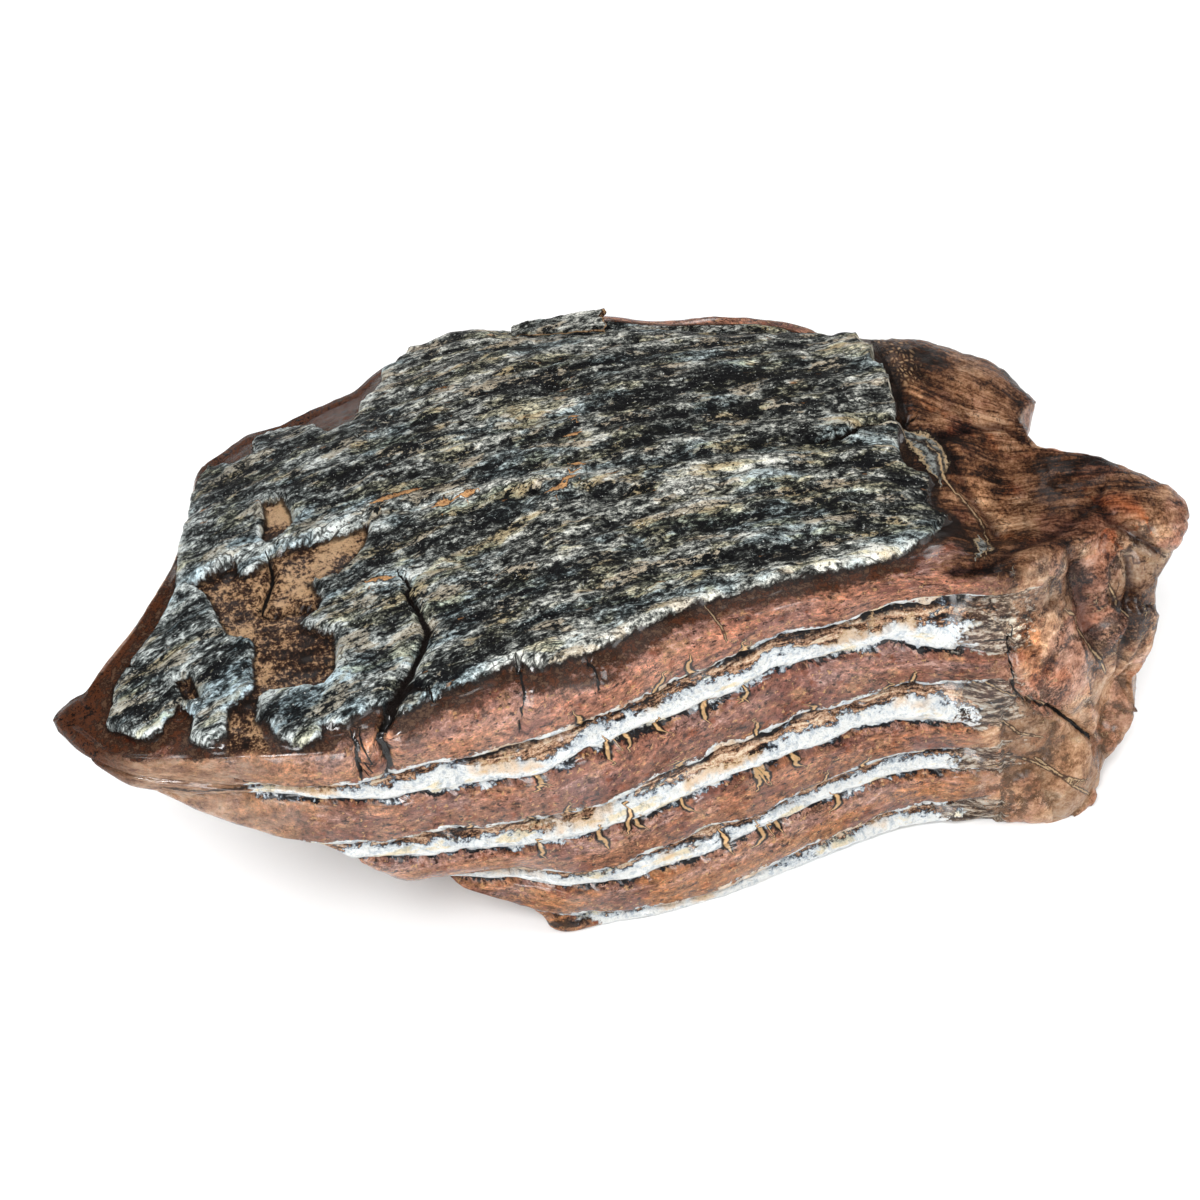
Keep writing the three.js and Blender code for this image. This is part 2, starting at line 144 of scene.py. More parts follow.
# Lines on the surface, as half a width and a route of (x, y, z) points in mm.
LINES = {
    "crack": [
        (0.5, [(-33.5, -6.2, 58), (-32.7, -8.9, 58), (-33.8, -10.2, 58), (-33, -14, 58),
               (-32.9, -17.9, 58)]),
        (0.7, [(-33.3, -15, 58), (-32.9, -17.9, 58), (-34.7, -21.2, 58), (-37.6, -24.7, 58)]),
        (0.95, [(-35.5, -22, 58), (-37.6, -24.7, 58), (-40.9, -28.4, 57), (-43.1, -30.3, 56),
               (-44.7, -33.1, 55), (-44, -33, 50), (-44.4, -34.4, 48.5)]),
        (0.3, [(-39.5, -27, 58), (-36.5, -28.2, 57.6), (-35.8, -30, 56)]),
        (0.45, [(-48.3, -31, 56), (-48.3, -33.4, 55), (-48.6, -34, 53), (-48.2, -34.4, 49.5)]),
        (0.28, [(-22.5, -27.4, 57), (-22.9, -30.5, 55.5), (-23.8, -32.6, 53), (-24.4, -33.8, 49)]),
        (0.25, [(-12.9, -29.4, 56), (-12.2, -31.5, 55), (-12.1, -32.8, 52.5)]),
        (0.4, [(-50.6, 4, 58), (-50.9, 1, 58), (-52.4, -1.9, 58), (-54.3, -5.2, 58)]),
        (0.35, [(-54.9, -5.2, 58), (-52.9, -7.3, 58), (-49.9, -7, 58), (-46.4, -8, 58)]),
        (0.55, [(52.5, 0.5, 57), (48, -0.3, 58), (43.5, 0.2, 59), (40.6, -0.9, 59), (34, -0.6, 59)]),
        (0.3, [(-77, -8.6, 56), (-75.5, -8.9, 57), (-74.2, -9.6, 57)]),
        (0.4, [(57, -38, 29), (60, -38, 27), (63, -37.5, 23.5), (66.8, -37, 18.7), (72.8, -36, 10.5)]),
        (0.22, [(53.6, -35.2, 44.8), (53.2, -36.4, 38.4), (54.1, -37.5, 32.4), (57.1, -38, 27.7)]),
        (0.2, [(48.5, -34.8, 43), (51, -35, 42.6), (53.6, -35.5, 41.8)]),
        (0.2, [(-68, -22, 54), (-64, -28, 51.5), (-60, -31, 50)]),
    ],
    "vein": [
        (0.16, [(6.8, -25.4, 57.5), (7.4, -28, 56.5), (8.4, -30.6, 53.2)]),
        (0.3, [(63.5, -32, 42.5), (65.5, -32.7, 40.5), (67, -33.1, 36.8), (68.6, -34.1, 34),
               (71, -34.2, 30), (73.5, -34.5, 25)]),
        (0.25, [(71.7, -30.4, 43.8), (73.9, -32.3, 39.4), (76.4, -34.1, 35.1)]),
        (0.22, [(45.9, -35.6, 36.9), (51.9, -37.1, 32.8), (58.8, -37.8, 28.7), (62, -37.5, 25)]),
        (0.22, [(51.3, -37.1, 15.3), (56.7, -38.4, 15.9), (63.6, -40, 11.2), (69, -40, 8)]),
        (0.2, [(52.5, -37.5, 26.1), (56.1, -38.1, 21.8), (60.7, -38.2, 19.3)]),
        (0.2, [(59.1, -38.9, 15.5), (63.6, -40, 11.2), (70.4, -39.7, 3)]),
        (0.5, [(49.5, -4, 57), (51.6, -5.2, 56), (52.6, -8.2, 55.3), (51.9, -11.7, 54.8),
               (53.6, -16.2, 53.3), (54.6, -21, 52.4), (53.3, -25.7, 53.2), (50.5, -29.5, 55.2)]),
    ],
    "shade": [
        (1.6, [(64.2, -30.6, 53.9), (66.6, -30.8, 45.8), (68.6, -32.4, 37.8), (70.6, -34.5, 31.2)]),
        (0.9, [(44, -31, 55.5), (50.2, -32.3, 55.5), (54.3, -30, 55.3), (58.8, -29.3, 55.2),
               (64.3, -27.1, 53.9), (68.8, -24.8, 54), (73.1, -22.8, 54.8), (75.2, -21, 55.2)]),
        (0.7, [(50, -1.4, 57.2), (52.3, -3.8, 56.6), (55.5, -4.3, 56), (61.3, -3.3, 55.3),
               (66.6, -3.3, 54.3), (70.5, -8, 53)]),
        (0.9, [(72.9, -23.2, 54.8), (73.2, -26.7, 54.3), (76.4, -29.2, 50.6), (80.6, -30.7, 46.7)]),
        (0.7, [(75.6, -30.3, 46.5), (76.4, -32.6, 39.7), (76.2, -34.1, 32.2), (76.4, -34.2, 22.9)]),
        (0.9, [(54.0, -4.5, 56), (55.0, -9, 55), (55.0, -14, 54), (56.4, -19, 53), (56, -24, 53)]),
        (0.8, [(54.5, 22, 56.6), (53.5, 15, 57.5), (52.5, 8.2, 58.4), (51.5, 2, 57.6), (50, -1.4, 57.2)]),
    ],
    "tan": [
        (2.4, [(54.5, -26.6, 53.5), (57.5, -22, 52.6), (57.5, -17.3, 52.4), (56, -11, 54),
               (54.8, -6, 55.5)]),
        (1.2, [(56, 16, 57.3), (55, 10, 57.8), (54.5, 3, 57)]),
        (1.6, [(52, -34, 45), (55, -35, 43), (58, -35, 40)]),
    ],
    "rib": [
        (1.7, [(49.4, -2.6, 57), (51.0, -4.6, 56), (51.9, -7.6, 55.3), (51.3, -11.0, 54.8)]),
        (1.2, [(49.5, -29, 55), (51.6, -27, 53.4), (52.4, -24.5, 53)]),
    ],
    "ochre": [
        (0.55, [(-33, 8.2, 58), (-30, 8.6, 58), (-26, 9.2, 58)]),
        (0.7, [(-24.4, 4.8, 58), (-22, 5.0, 58)]),
        (0.5, [(-20, 5.3, 58), (-18, 5.4, 58)]),
        (0.45, [(1.2, 16.7, 59), (2.2, 16.9, 59)]),
        (0.5, [(-0.8, 12.6, 59), (1.2, 12.8, 59)]),
        (0.55, [(-2.2, 6.5, 59), (-1, 5.6, 59)]),
        (0.45, [(-5, 3, 58.5), (-2.6, 3.5, 58.5)]),
        (0.5, [(-7.4, 1.9, 58.5), (-4.6, 2.1, 58.5)]),
        (0.5, [(-38.5, -6.4, 58), (-35, -6.8, 58)]),
    ],
    "amber": [
        (1.8, [(73.2, -22.6, 55.2), (75.6, -24.5, 54.4), (77.5, -27, 52)]),
        (1.6, [(73.6, -29, 51.6), (74.2, -29.4, 49.8)]),
        (0.9, [(38, -26.9, 57), (43.5, -27.4, 56.4), (47.5, -27.6, 55.8)]),
        (0.9, [(-79, -17, 54.4), (-77.5, -21, 54)]),
    ],
}
# The lifted splinter: length, width and thickness, its middle, and its turn and tip in radians.
SPLINTER_SIZE = np.array([15.0, 4.4, 1.1])
SPLINTER_MIDDLE = np.array([8.4, 43.8, 54.0])
SPLINTER_TURN, SPLINTER_TIP = -0.29, 0.13
# The tan seams of mineral that cross the edges of the bands, as (x, z), each a few mm long.
STITCHES = [
    (11, 53.3), (3, 51.8), (-3, 51), (-15, 51.6), (22, 38.8), (11, 41.4), (13, 38.4), (5, 42.1),
    (-3, 40.9), (0, 35.9), (-8, 41.1), (-11, 40.5), (-22, 38.7), (-18, 34.8), (-24, 34), (14, 26.1),
    (13, 22.8), (19, 23.3), (24, 22.9), (1, 21.1), (-8, 23.3), (-7, 20), (17, 13.6), (14, 9.8),
    (8, 12.9), (-13, 19.8), (-22, 23.5), (34, 38.5), (31, 22), (38, 36), (-33, 33), (27, 12),
]
# The bright lip of enamel that runs on from the large flaked place, as (x, y).
LIP = [
    (-66.5, 0.5), (-64.2, 2.5), (-60.4, 3.6), (-55.6, 4.9), (-44.4, 5.2), (-34.3, 6.8), (-25.9, 6.5),
    (-14.3, 5.4), (-6.9, 3.5), (4, -1), (12, -3.5),
]

# The level of the crown tip, and how far, in mm, the outline is trimmed at each place.
TIP_LEVEL = 51
TIP_BULGE, UNDER_CROWN, NEAR_FOOT = 1.3, 1.1, 2.4
FAR_RIM, FAR_RIM_CROWN = 3.8, 1.6
TIP_BACK, CROWN_BACK = 1.9, 1.0
# How deep cracks and shaded folds are cut, and how far veins stand out.
CRACK_DEPTH, FOLD_DEPTH, FOLD_DEPTH_ON_TOP, VEIN_RELIEF = 2.0, 1.6, 0.7, 0.12
# Sizes of the facets of the broken roots, how far each kind stands out, and its seed.
FACETS = ((14.0, 2.3, 4), (6.5, 0.7, 2))

# Lumps and hollows of the roots: where, how wide, and how far out or in.
LUMPS = [
    ((80, -24, 52), 9, 0.8), ((60, 17, 54), 13, 3.5), ((59, -17, 55), 12, -4.5),
    ((68, -8, 52), 8, -2.2), ((58, -31, 54), 6, 2), ((55, -25, 55), 4.5, -2),
    ((73, -31, 50), 4.5, -3), ((67, -33, 47), 4, -2), ((69, -35, 38), 5, -2.5),
    ((72, -35, 28), 5, -1.5), ((78, -33, 36), 8, 1.1), ((56, -36, 30), 12, 1.2),
    ((66, -38, 18), 4, -2), ((75.5, -36, 12), 3.5, -3.2), ((66, -40, 4), 9, 2),
    ((74, -28.6, 51.4), 2.4, -2.6), ((45.5, -27.5, 56.5), 3, 1.2), ((56, -8, 55), 5, 1.5),
    ((80, 4, 30), 9, -4), ((73, -5, 42), 8, -2.5),
    ((75, 13, 55), 5, 2.4), ((76, 9, 55), 4, 1.0), ((77.5, 3.5, 50), 4.5, -1.7),
    ((74, -1, 47), 5, 3.0),
    ((77.5, -34.5, 19), 5, -3.7), ((81, -25, 44), 7, 2.4), ((74, -37.5, 10), 3.5, -2.0),
]


def line(knots):
    """A smooth curve through (x, y) knots, level beyond its ends."""
    xs, ys = np.array(knots, float).T
    slope = np.zeros(len(xs))
    slope[1:-1] = (ys[2:] - ys[:-2]) / (xs[2:] - xs[:-2])

    def at(x):
        x = np.clip(x, xs[0], xs[-1])
        i = np.clip(np.searchsorted(xs, x, side="right") - 1, 0, len(xs) - 2)
        span = xs[i + 1] - xs[i]
        t = (x - xs[i]) / span
        rise = ys[i] + (ys[i + 1] - ys[i]) * t * t * (3 - 2 * t)
        return rise + span * t * (1 - t) * (slope[i] * (1 - t) - slope[i + 1] * t)

    return at


def mix(a, b, t):
    return a + (b - a) * t


def step(x, low, high):
    """0 below low, 1 above high, and smooth between them."""
    t = np.clip((x - low) / (high - low), 0, 1)
    return t * t * (3 - 2 * t)


def lumpy(points, size, octaves=1, seed=0):
    """Smooth noise of about -1 to 1 at points in mm, with lumps of the given size."""
    shift = Vector((17.3, 5.1, 9.7)) * (seed + 1)
    scaled = points / size
    return np.array([noise.fractal(Vector(p) + shift, 1.0, 2.0, octaves) for p in scaled])


near_top, near_base = line(NEAR_TOP), line(NEAR_BASE)
far_top, far_base = line(FAR_TOP), line(FAR_BASE)
crown_top, crown_base, crown_wear = line(CROWN_TOP), line(CROWN_BASE), line(CROWN_WEAR)
root_top, root_base, root_taper = line(ROOT_TOP), line(ROOT_BASE), line(ROOT_TAPER)
seams = [line(knots) for knots in SEAMS]
enamel_profile, cement_profile = line(ENAMEL_PROFILE), line(CEMENT_PROFILE)


def level(x, up):
    """The height of the stack at x, for a share of the bands counted from the base."""
    band = np.minimum((up * BANDS).astype(int), BANDS - 1)
    heights = np.array([seam(x) for seam in seams])
    each = np.arange(len(x))
    return mix(heights[band, each], heights[band + 1, each], up * BANDS - band)


def rounded(share):
    """Rounds the block's corners: each point moves on to an ellipsoid inside its corner."""
    place = share * BLOCK
    inner = np.clip(place, ROUND_LOW, BLOCK - ROUND_HIGH)
    reach = np.where(place < inner, ROUND_LOW, ROUND_HIGH)
    out = (place - inner) / reach
    out /= np.linalg.norm(out, axis=1, keepdims=True)
    return (inner + out * reach) / BLOCK


def bend(share):
    """Bends points of the block, given as shares of its size, to the tooth's form in mm."""
    along, across, up = share.T
    crown = mix(crown_base(across), crown_top(across), crown_wear(up))
    root = mix(root_base(across), root_top(across), root_taper(up))
    x = mix(crown, root, along)
    bulge = 1.6 * np.sin(math.pi * up)
    near = mix(near_base(x), near_top(x), up) - bulge
    far = mix(far_base(x), far_top(x), up) + 2 * bulge
    dome = 1.5 * np.sin(math.pi * across) - 6 * step(across, 0.62, 1.05)
    return np.stack([x, mix(near, far, across), level(x, up) + dome * up * up], axis=1)


def route_gap(points, route):
    """Distance from points to a route, plus on its left side and minus on its right."""
    best = np.full(len(points), 1e9)
    side = np.ones(len(points))
    for a, b in zip(route[:-1], route[1:]):
        a, run = np.array(a, float), np.subtract(b, a).astype(float)
        rel = points - a
        t = np.clip(rel @ run / (run @ run), 0, 1)
        gap = np.linalg.norm(rel - t[:, None] * run, axis=1)
        closer = gap < best
        best[closer] = gap[closer]
        cross = run[0] * rel[:, 1] - run[1] * rel[:, 0]
        side[closer] = np.where(cross[closer] < 0, -1, 1)
    return best * side


def inside(points, outline):
    """Distance in mm to a closed outline seen from above, plus inside it and minus outside."""
    x, y = points.T
    gap = np.abs(route_gap(points, outline + outline[:1]))
    within = np.zeros(len(points), bool)
    for (x0, y0), (x1, y1) in zip(outline, outline[1:] + outline[:1]):
        if y0 != y1:
            crossing = x0 + (y - y0) * (x1 - x0) / (y1 - y0)
            within ^= ((y0 > y) != (y1 > y)) & (x < crossing)
    return np.where(within, gap, -gap)


def surface_gap(points, facing, route):
    """Distance along the surface from points to a route, the side of it, and the share of the way along."""
    best = np.full(len(points), 1e9)
    side = np.ones(len(points))
    share = np.zeros(len(points))
    route = np.array(route, float)
    lengths = np.linalg.norm(np.diff(route, axis=0), axis=1)
    gone = 0.0
    for a, b, length in zip(route[:-1], route[1:], lengths):
        run = b - a
        t = np.clip((points - a) @ run / (run @ run), 0, 1)
        away = points - a - t[:, None] * run
        far = np.linalg.norm(away, axis=1)
        away -= np.einsum("ij,ij->i", away, facing)[:, None] * facing
        gap = np.linalg.norm(away, axis=1) + np.maximum(far - 5, 0)
        closer = gap < best
        best[closer] = gap[closer]
        turn = np.einsum("ij,ij->i", np.cross(run, away), facing)
        side[closer] = np.where(turn[closer] < 0, -1, 1)
        share[closer] = (gone + t[closer] * length) / lengths.sum()
        gone += length
    return best, side, share


def line_field(points, facing, lines):
    """Signed distance to the nearest line, in units of its own half width, which thins at its ends."""
    field = np.full(len(points), NO_LINE)
    for width, route in lines:
        gap, side, share = surface_gap(points, facing, route)
        thin = 0.35 + 0.65 * np.sqrt(np.clip(np.minimum(share, 1 - share) * 4, 0, 1))
        scaled = gap / (width * thin)
        closer = scaled < np.abs(field)
        field[closer] = (scaled * side)[closer]
    return field


def stitch_routes():
    """Short wavy routes from the seams into the cement: the near ones placed, the far ones at random."""
    rng = np.random.default_rng(11)
    places = [(x, z, -1) for x, z in STITCHES]
    places += [(rng.uniform(-40, 45), rng.uniform(6, 42), 1) for _ in range(30)]
    routes = []
    for x, z, side in places:
        heights = np.array([seam(np.array([x]))[0] for seam in seams[1:-1]])
        seam_z = heights[np.argmin(np.abs(heights - z))]
        reach = rng.uniform(0.8, 2.6) * (1 if z > seam_z else -1)
        lean = rng.uniform(-0.7, 0.7)
        bends = [(x + rng.uniform(-0.5, 0.5) + lean * k / 4, seam_z + reach * (k - 0.5) / 4)
                 for k in range(5)]
        routes.append((side, rng.uniform(0.27, 0.46), bends))
    return routes


def stitch_field(points, facing):
    """As line_field, for the tan seams of mineral on both long sides."""
    field = np.full(len(points), NO_LINE)
    flat = points[:, [0, 2]]
    for side, width, route in stitch_routes():
        gap = route_gap(flat, route)
        scaled = np.abs(gap) / width
        closer = (scaled < np.abs(field)) & (facing[:, 1] * side > 0.35)
        field[closer] = (np.sign(gap) * scaled)[closer]
    return field


def facets(points, size, seed):
    """Broken stone: the tilt of the facet that each point is in, and how near the joint to the next is."""
    tilt, joint = np.empty(len(points)), np.empty(len(points))
    wander = lumpy(points, size, 2, seed)
    for i, place in enumerate(points / size + seed * 3.1 + 0.25 * wander[:, None]):
        place = Vector(place)
        gaps, centres = noise.voronoi(place)
        lean = noise.noise_vector(centres[0] * 3.7)
        tilt[i] = (place - centres[0]).dot(lean)
        joint[i] = gaps[1] - gaps[0]
    return tilt, joint


def fine_box():
    """A box of one unit with many rows of faces along each axis, from 0 to 1."""
    bm = bmesh.new()
    bmesh.ops.create_cube(bm, size=1.0)
    for axis, cuts in enumerate(CUTS):
        edges = [e for e in bm.edges if abs(e.verts[1].co[axis] - e.verts[0].co[axis]) > 0.5]
        bmesh.ops.subdivide_edges(bm, edges=edges, cuts=cuts - 1)
    bmesh.ops.translate(bm, verts=bm.verts, vec=(0.5, 0.5, 0.5))
    low, high = ROUND_LOW / BLOCK, 1 - ROUND_HIGH / BLOCK
    flat = [f for f in bm.faces if max(v.co.z for v in f.verts) < 1e-6 and all(
        low[k] < v.co[k] < high[k] for k in (0, 1) for v in f.verts)]
    bmesh.ops.dissolve_faces(bm, faces=flat, use_verts=True)
    return bm


def spaced(share):
    """Moves the rows up the stack closer together at each seam."""
    place = share * BANDS
    band = np.floor(place)
    within = place - band
    return (band + within - 0.45 * np.sin(2 * math.pi * within) / (2 * math.pi)) / BANDS


def read(mesh, what, attribute="co"):
    values = np.empty(len(what) * 3)
    what.foreach_get(attribute, values)
    return values.reshape(-1, 3)


def normals_of(mesh, points):
    """Vertex normals of the mesh once its vertices are at these points."""
    mesh.vertices.foreach_set("co", points.ravel())
    mesh.update()
    return read(mesh, mesh.vertex_normals, "vector")


def band_relief(points, up, facing):
    """How far the bands stand out, the band that each point is in, and the way along its enamel pair."""
    flow = np.stack([points[:, 0] / 7, points[:, 1] / 7, up * 14], axis=1)
    wander = 0.13 * lumpy(flow, 1.0, 2, seed=3) + 0.06 * lumpy(flow, 0.35, 2, seed=13)
    place = np.clip(up * BANDS + wander * step(up, 0, 0.06) * step(1 - up, 0, 0.06), 0, BANDS - 1e-4)
    band = place.astype(int)
    within = place - band
    pair = points[:, 0] - line(PAIR_START)(place) + 3 * lumpy(points, 8, 2, seed=14)
    strength = 1 + 0.6 * lumpy(flow * [0.5, 0.5, 1], 1.0, 2, seed=4)
    enamel = mix(cement_profile(within), enamel_profile(within) * strength, step(pair, -7, 3))
    out = np.where(band % 2 == 0, enamel, cement_profile(within))
    on_side = step(1 - np.abs(facing[:, 2]), 0.2, 0.45)
    fade = 1 - step(points[:, 0] + 5 * lumpy(points, 9, 2, seed=5), ROOT_START - ROOT_BLEND / 2,
                    ROOT_START + ROOT_BLEND)
    return out * on_side * fade, place, pair


def plate_relief(points, plate, flow, on_top):
    """The enamel sheet: its thickness, its long low ridges, its fibres and the lip beside the flakes."""
    broken_end = step(points[:, 0], 40, 47)
    ragged = plate + 0.35 * lumpy(points, 2.4, 2, seed=6)
    ragged += 1.3 * broken_end * lumpy(points, 4.5, 2, seed=17)
    sheet = step(ragged, -0.25, 0.35) * on_top
    sway = 0.9 * lumpy(flow, np.array([34, 9, 30]), 2, seed=7)
    ridge = np.cos(2 * math.pi * (flow[:, 1] / 5.2 + sway))
    strong = 0.10 + 0.20 * step(points[:, 0], -45, 5) * step(48 - points[:, 0], 0, 12)
    fibres = lumpy(flow, np.array([4.5, 1.3, 5]), 3, seed=8)
    lumps = lumpy(flow, np.array([11, 4.5, 14]), 2, seed=9)
    lip_gap = route_gap(points[:, :2], LIP)
    along = 1 - step(np.abs(points[:, 0] + 26), 30, 42)
    lip = np.exp(-np.abs(lip_gap - 0.6) / 3.5) * (lip_gap > -0.6) * along
    detail = strong * ridge + 0.24 * fibres + 0.40 * lumps + 0.22 * lumpy(points, 1.6, 3, seed=16)
    detail += 0.5 * broken_end * lumpy(points, 5.0, 2, seed=18)
    ground = 0.14 * lumpy(points, 1.4, 3, seed=10)
    out = SHEET_THICKNESS + detail + 0.9 * lip
    return sheet * out + (1 - sheet) * ground * on_top, sheet, detail, lip


def root_relief(points, rooty, on_top):
    """Lumps and hollows of the roots, and the facets that the stone has broken into.

    Returns how far each point moves, the tilt of its large facet and how near its crease is."""
    out = np.zeros(len(points))
    for place, radius, push in LUMPS:
        gap = np.linalg.norm(points - np.array(place), axis=1) / radius
        out += push * np.exp(-gap * gap)
    here = rooty > 0.02
    near = points[here]
    crag = np.zeros(len(near))
    plane, crease = np.zeros(len(points)), np.full(len(points), NO_LINE)
    for size, push, seed in FACETS:
        tilt, joint = facets(near * [1, 1, 0.8], size, seed)
        crag += push * tilt - 0.14 * push * np.exp(-(joint * size / 0.7) ** 2)
        plane[here] += tilt * size / FACETS[0][0]
        crease[here] = np.minimum(crease[here], joint * size)
    crag += 0.16 * lumpy(near, 1.7, 3, seed=12)
    out[here] += crag * rooty[here] * (1 - 0.6 * on_top[here])
    return out, plane, crease


def outline_trim(points, share):
    """How far each point moves to bring the outline to the photo's: at the tip, the far rim and the foot."""
    x, y, z = points.T
    tip = np.exp(-((z - TIP_LEVEL) / 2.5) ** 2) * step(-x, 81, 86) * step(-y, 4, 12)
    far_rim = step(share[:, 1], 0.82, 0.97) * step(share[:, 2], 0.88, 0.98)
    far_rim *= FAR_RIM * step(x, -8, 10) + FAR_RIM_CROWN * step(-x, 20, 27) * step(x, -46, -38)
    under_crown = step(-x, 50, 62) * step(-y, 15, 22) * step(TIP_LEVEL - z, 0, 5)
    near_foot = step(-x, 18, 27) * step(x, -52, -42) * step(-y, 18, 26) * step(24 - z, 0, 8)
    return TIP_BULGE * tip - far_rim - UNDER_CROWN * under_crown - NEAR_FOOT * near_foot


def shape_tooth(mesh):
    """Moves the fine box on to the tooth, and returns the values that its colours follow, in mm."""
    start = read(mesh, mesh.vertices)
    start[:, 2] = spaced(start[:, 2])
    share = rounded(start)
    up = share[:, 2]
    points = bend(share)
    facing = normals_of(mesh, points)
    x, y = points[:, 0], points[:, 1]
    on_top = step(facing[:, 2], 0.45, 0.75) * step(up, 0.9, 0.96)
    lobe = 0.5 * np.maximum(x - 50, 0) * step(y, -8, 2) * on_top
    flow = np.stack([x, y + BOW * x ** 2 + lobe, up * BLOCK[2]], axis=1)
    flat = points[:, :2]
    flaked = np.max([inside(flat, outline) for outline in FLAKES], axis=0)
    plate = np.minimum(inside(flat, SHEET_EDGE), -flaked) - 30 * (1 - step(up, 0.86, 0.95))
    bands, band, pair = band_relief(points, up, facing)
    sheet_out, sheet, detail, lip = plate_relief(points, plate, flow, on_top)
    root = x - mix(50, 44.5, on_top) - 60 * sheet
    rooty = step(root, -2, 6)
    fields = {name: line_field(points, facing, lines) for name, lines in LINES.items()}
    fields["stitch"] = stitch_field(points, facing)
    fields["crack"] += 0.5 * lumpy(points, 1.6, 2, seed=15)
    for name in list(fields):
        fields[name + "_on"] = 1 - step(np.abs(fields[name]), 2.5, 5.0)
    under = step(-facing[:, 2], 0.6, 0.9) * (1 - step(up, 0.0, 0.05))
    rough = 0.30 * lumpy(points, np.array([15.0, 9, 9]), 2, seed=1) + 0.12 * lumpy(points, 2.2, 2, seed=2)
    fine = bands + sheet_out + rough * (1 - 0.6 * sheet)
    fold_depth = mix(FOLD_DEPTH, FOLD_DEPTH_ON_TOP, on_top)
    fine -= CRACK_DEPTH * np.exp(-(fields["crack"] / 1.1) ** 2) * fields["crack_on"]
    fine -= fold_depth * np.exp(-(fields["shade"] / 1.2) ** 2) * fields["shade_on"]
    fine += VEIN_RELIEF * (np.exp(-fields["vein"] ** 2) - np.exp(-fields["stitch"] ** 2))
    stone, plane, crease = root_relief(points, rooty, on_top)
    out = (fine + stone) * (1 - under)
    out += outline_trim(points, share)
    points += facing * out[:, None]
    beside_crown = step(-x, 54, 62) * step(y, -12, -2) * step(up, 0.7, 0.95)
    points[:, 0] += TIP_BACK * step(-x, 78, 88) + CROWN_BACK * beside_crown
    points[:, 2] = np.where(up > 0, np.maximum(points[:, 2], 0), 0)
    margin = np.exp(-np.maximum(plate, 0) / 1.8) * (1 - step(x, 40, 47)) + 0.55 * lip ** 2
    fields.update(band=band, pair=pair, plate=plate, flaked=flaked, root=root, top=on_top, ridge=detail,
                  margin=margin, plane=plane, crease=crease)
    return points, flow, fields


def store(mesh, fields, flow):
    """Keeps the values that the colours follow as attributes of the mesh."""
    for name, values in fields.items():
        layer = mesh.attributes.new(name, "FLOAT", "POINT")
        layer.data.foreach_set("value", values.astype(np.float32))
    layer = mesh.attributes.new("flow", "FLOAT_VECTOR", "POINT")
    layer.data.foreach_set("vector", flow.astype(np.float32).ravel())


def to_frame(points):
    """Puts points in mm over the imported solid, which stands centred on its own box."""
    return (points - MIDDLE) * MM


def make_tooth(material):
    bm = fine_box()
    mesh = bpy.data.meshes.new("tooth_surface")
    bm.to_mesh(mesh)
    bm.free()
    points, flow, fields = shape_tooth(mesh)
    mesh.vertices.foreach_set("co", to_frame(points).ravel())
    store(mesh, fields, flow)
    mesh.materials.append(material)
    mesh.shade_smooth()
    mesh.update()
    return show(mesh)


def show(mesh):
    piece = bpy.data.objects.new(mesh.name, mesh)
    bpy.context.collection.objects.link(piece)
    return piece


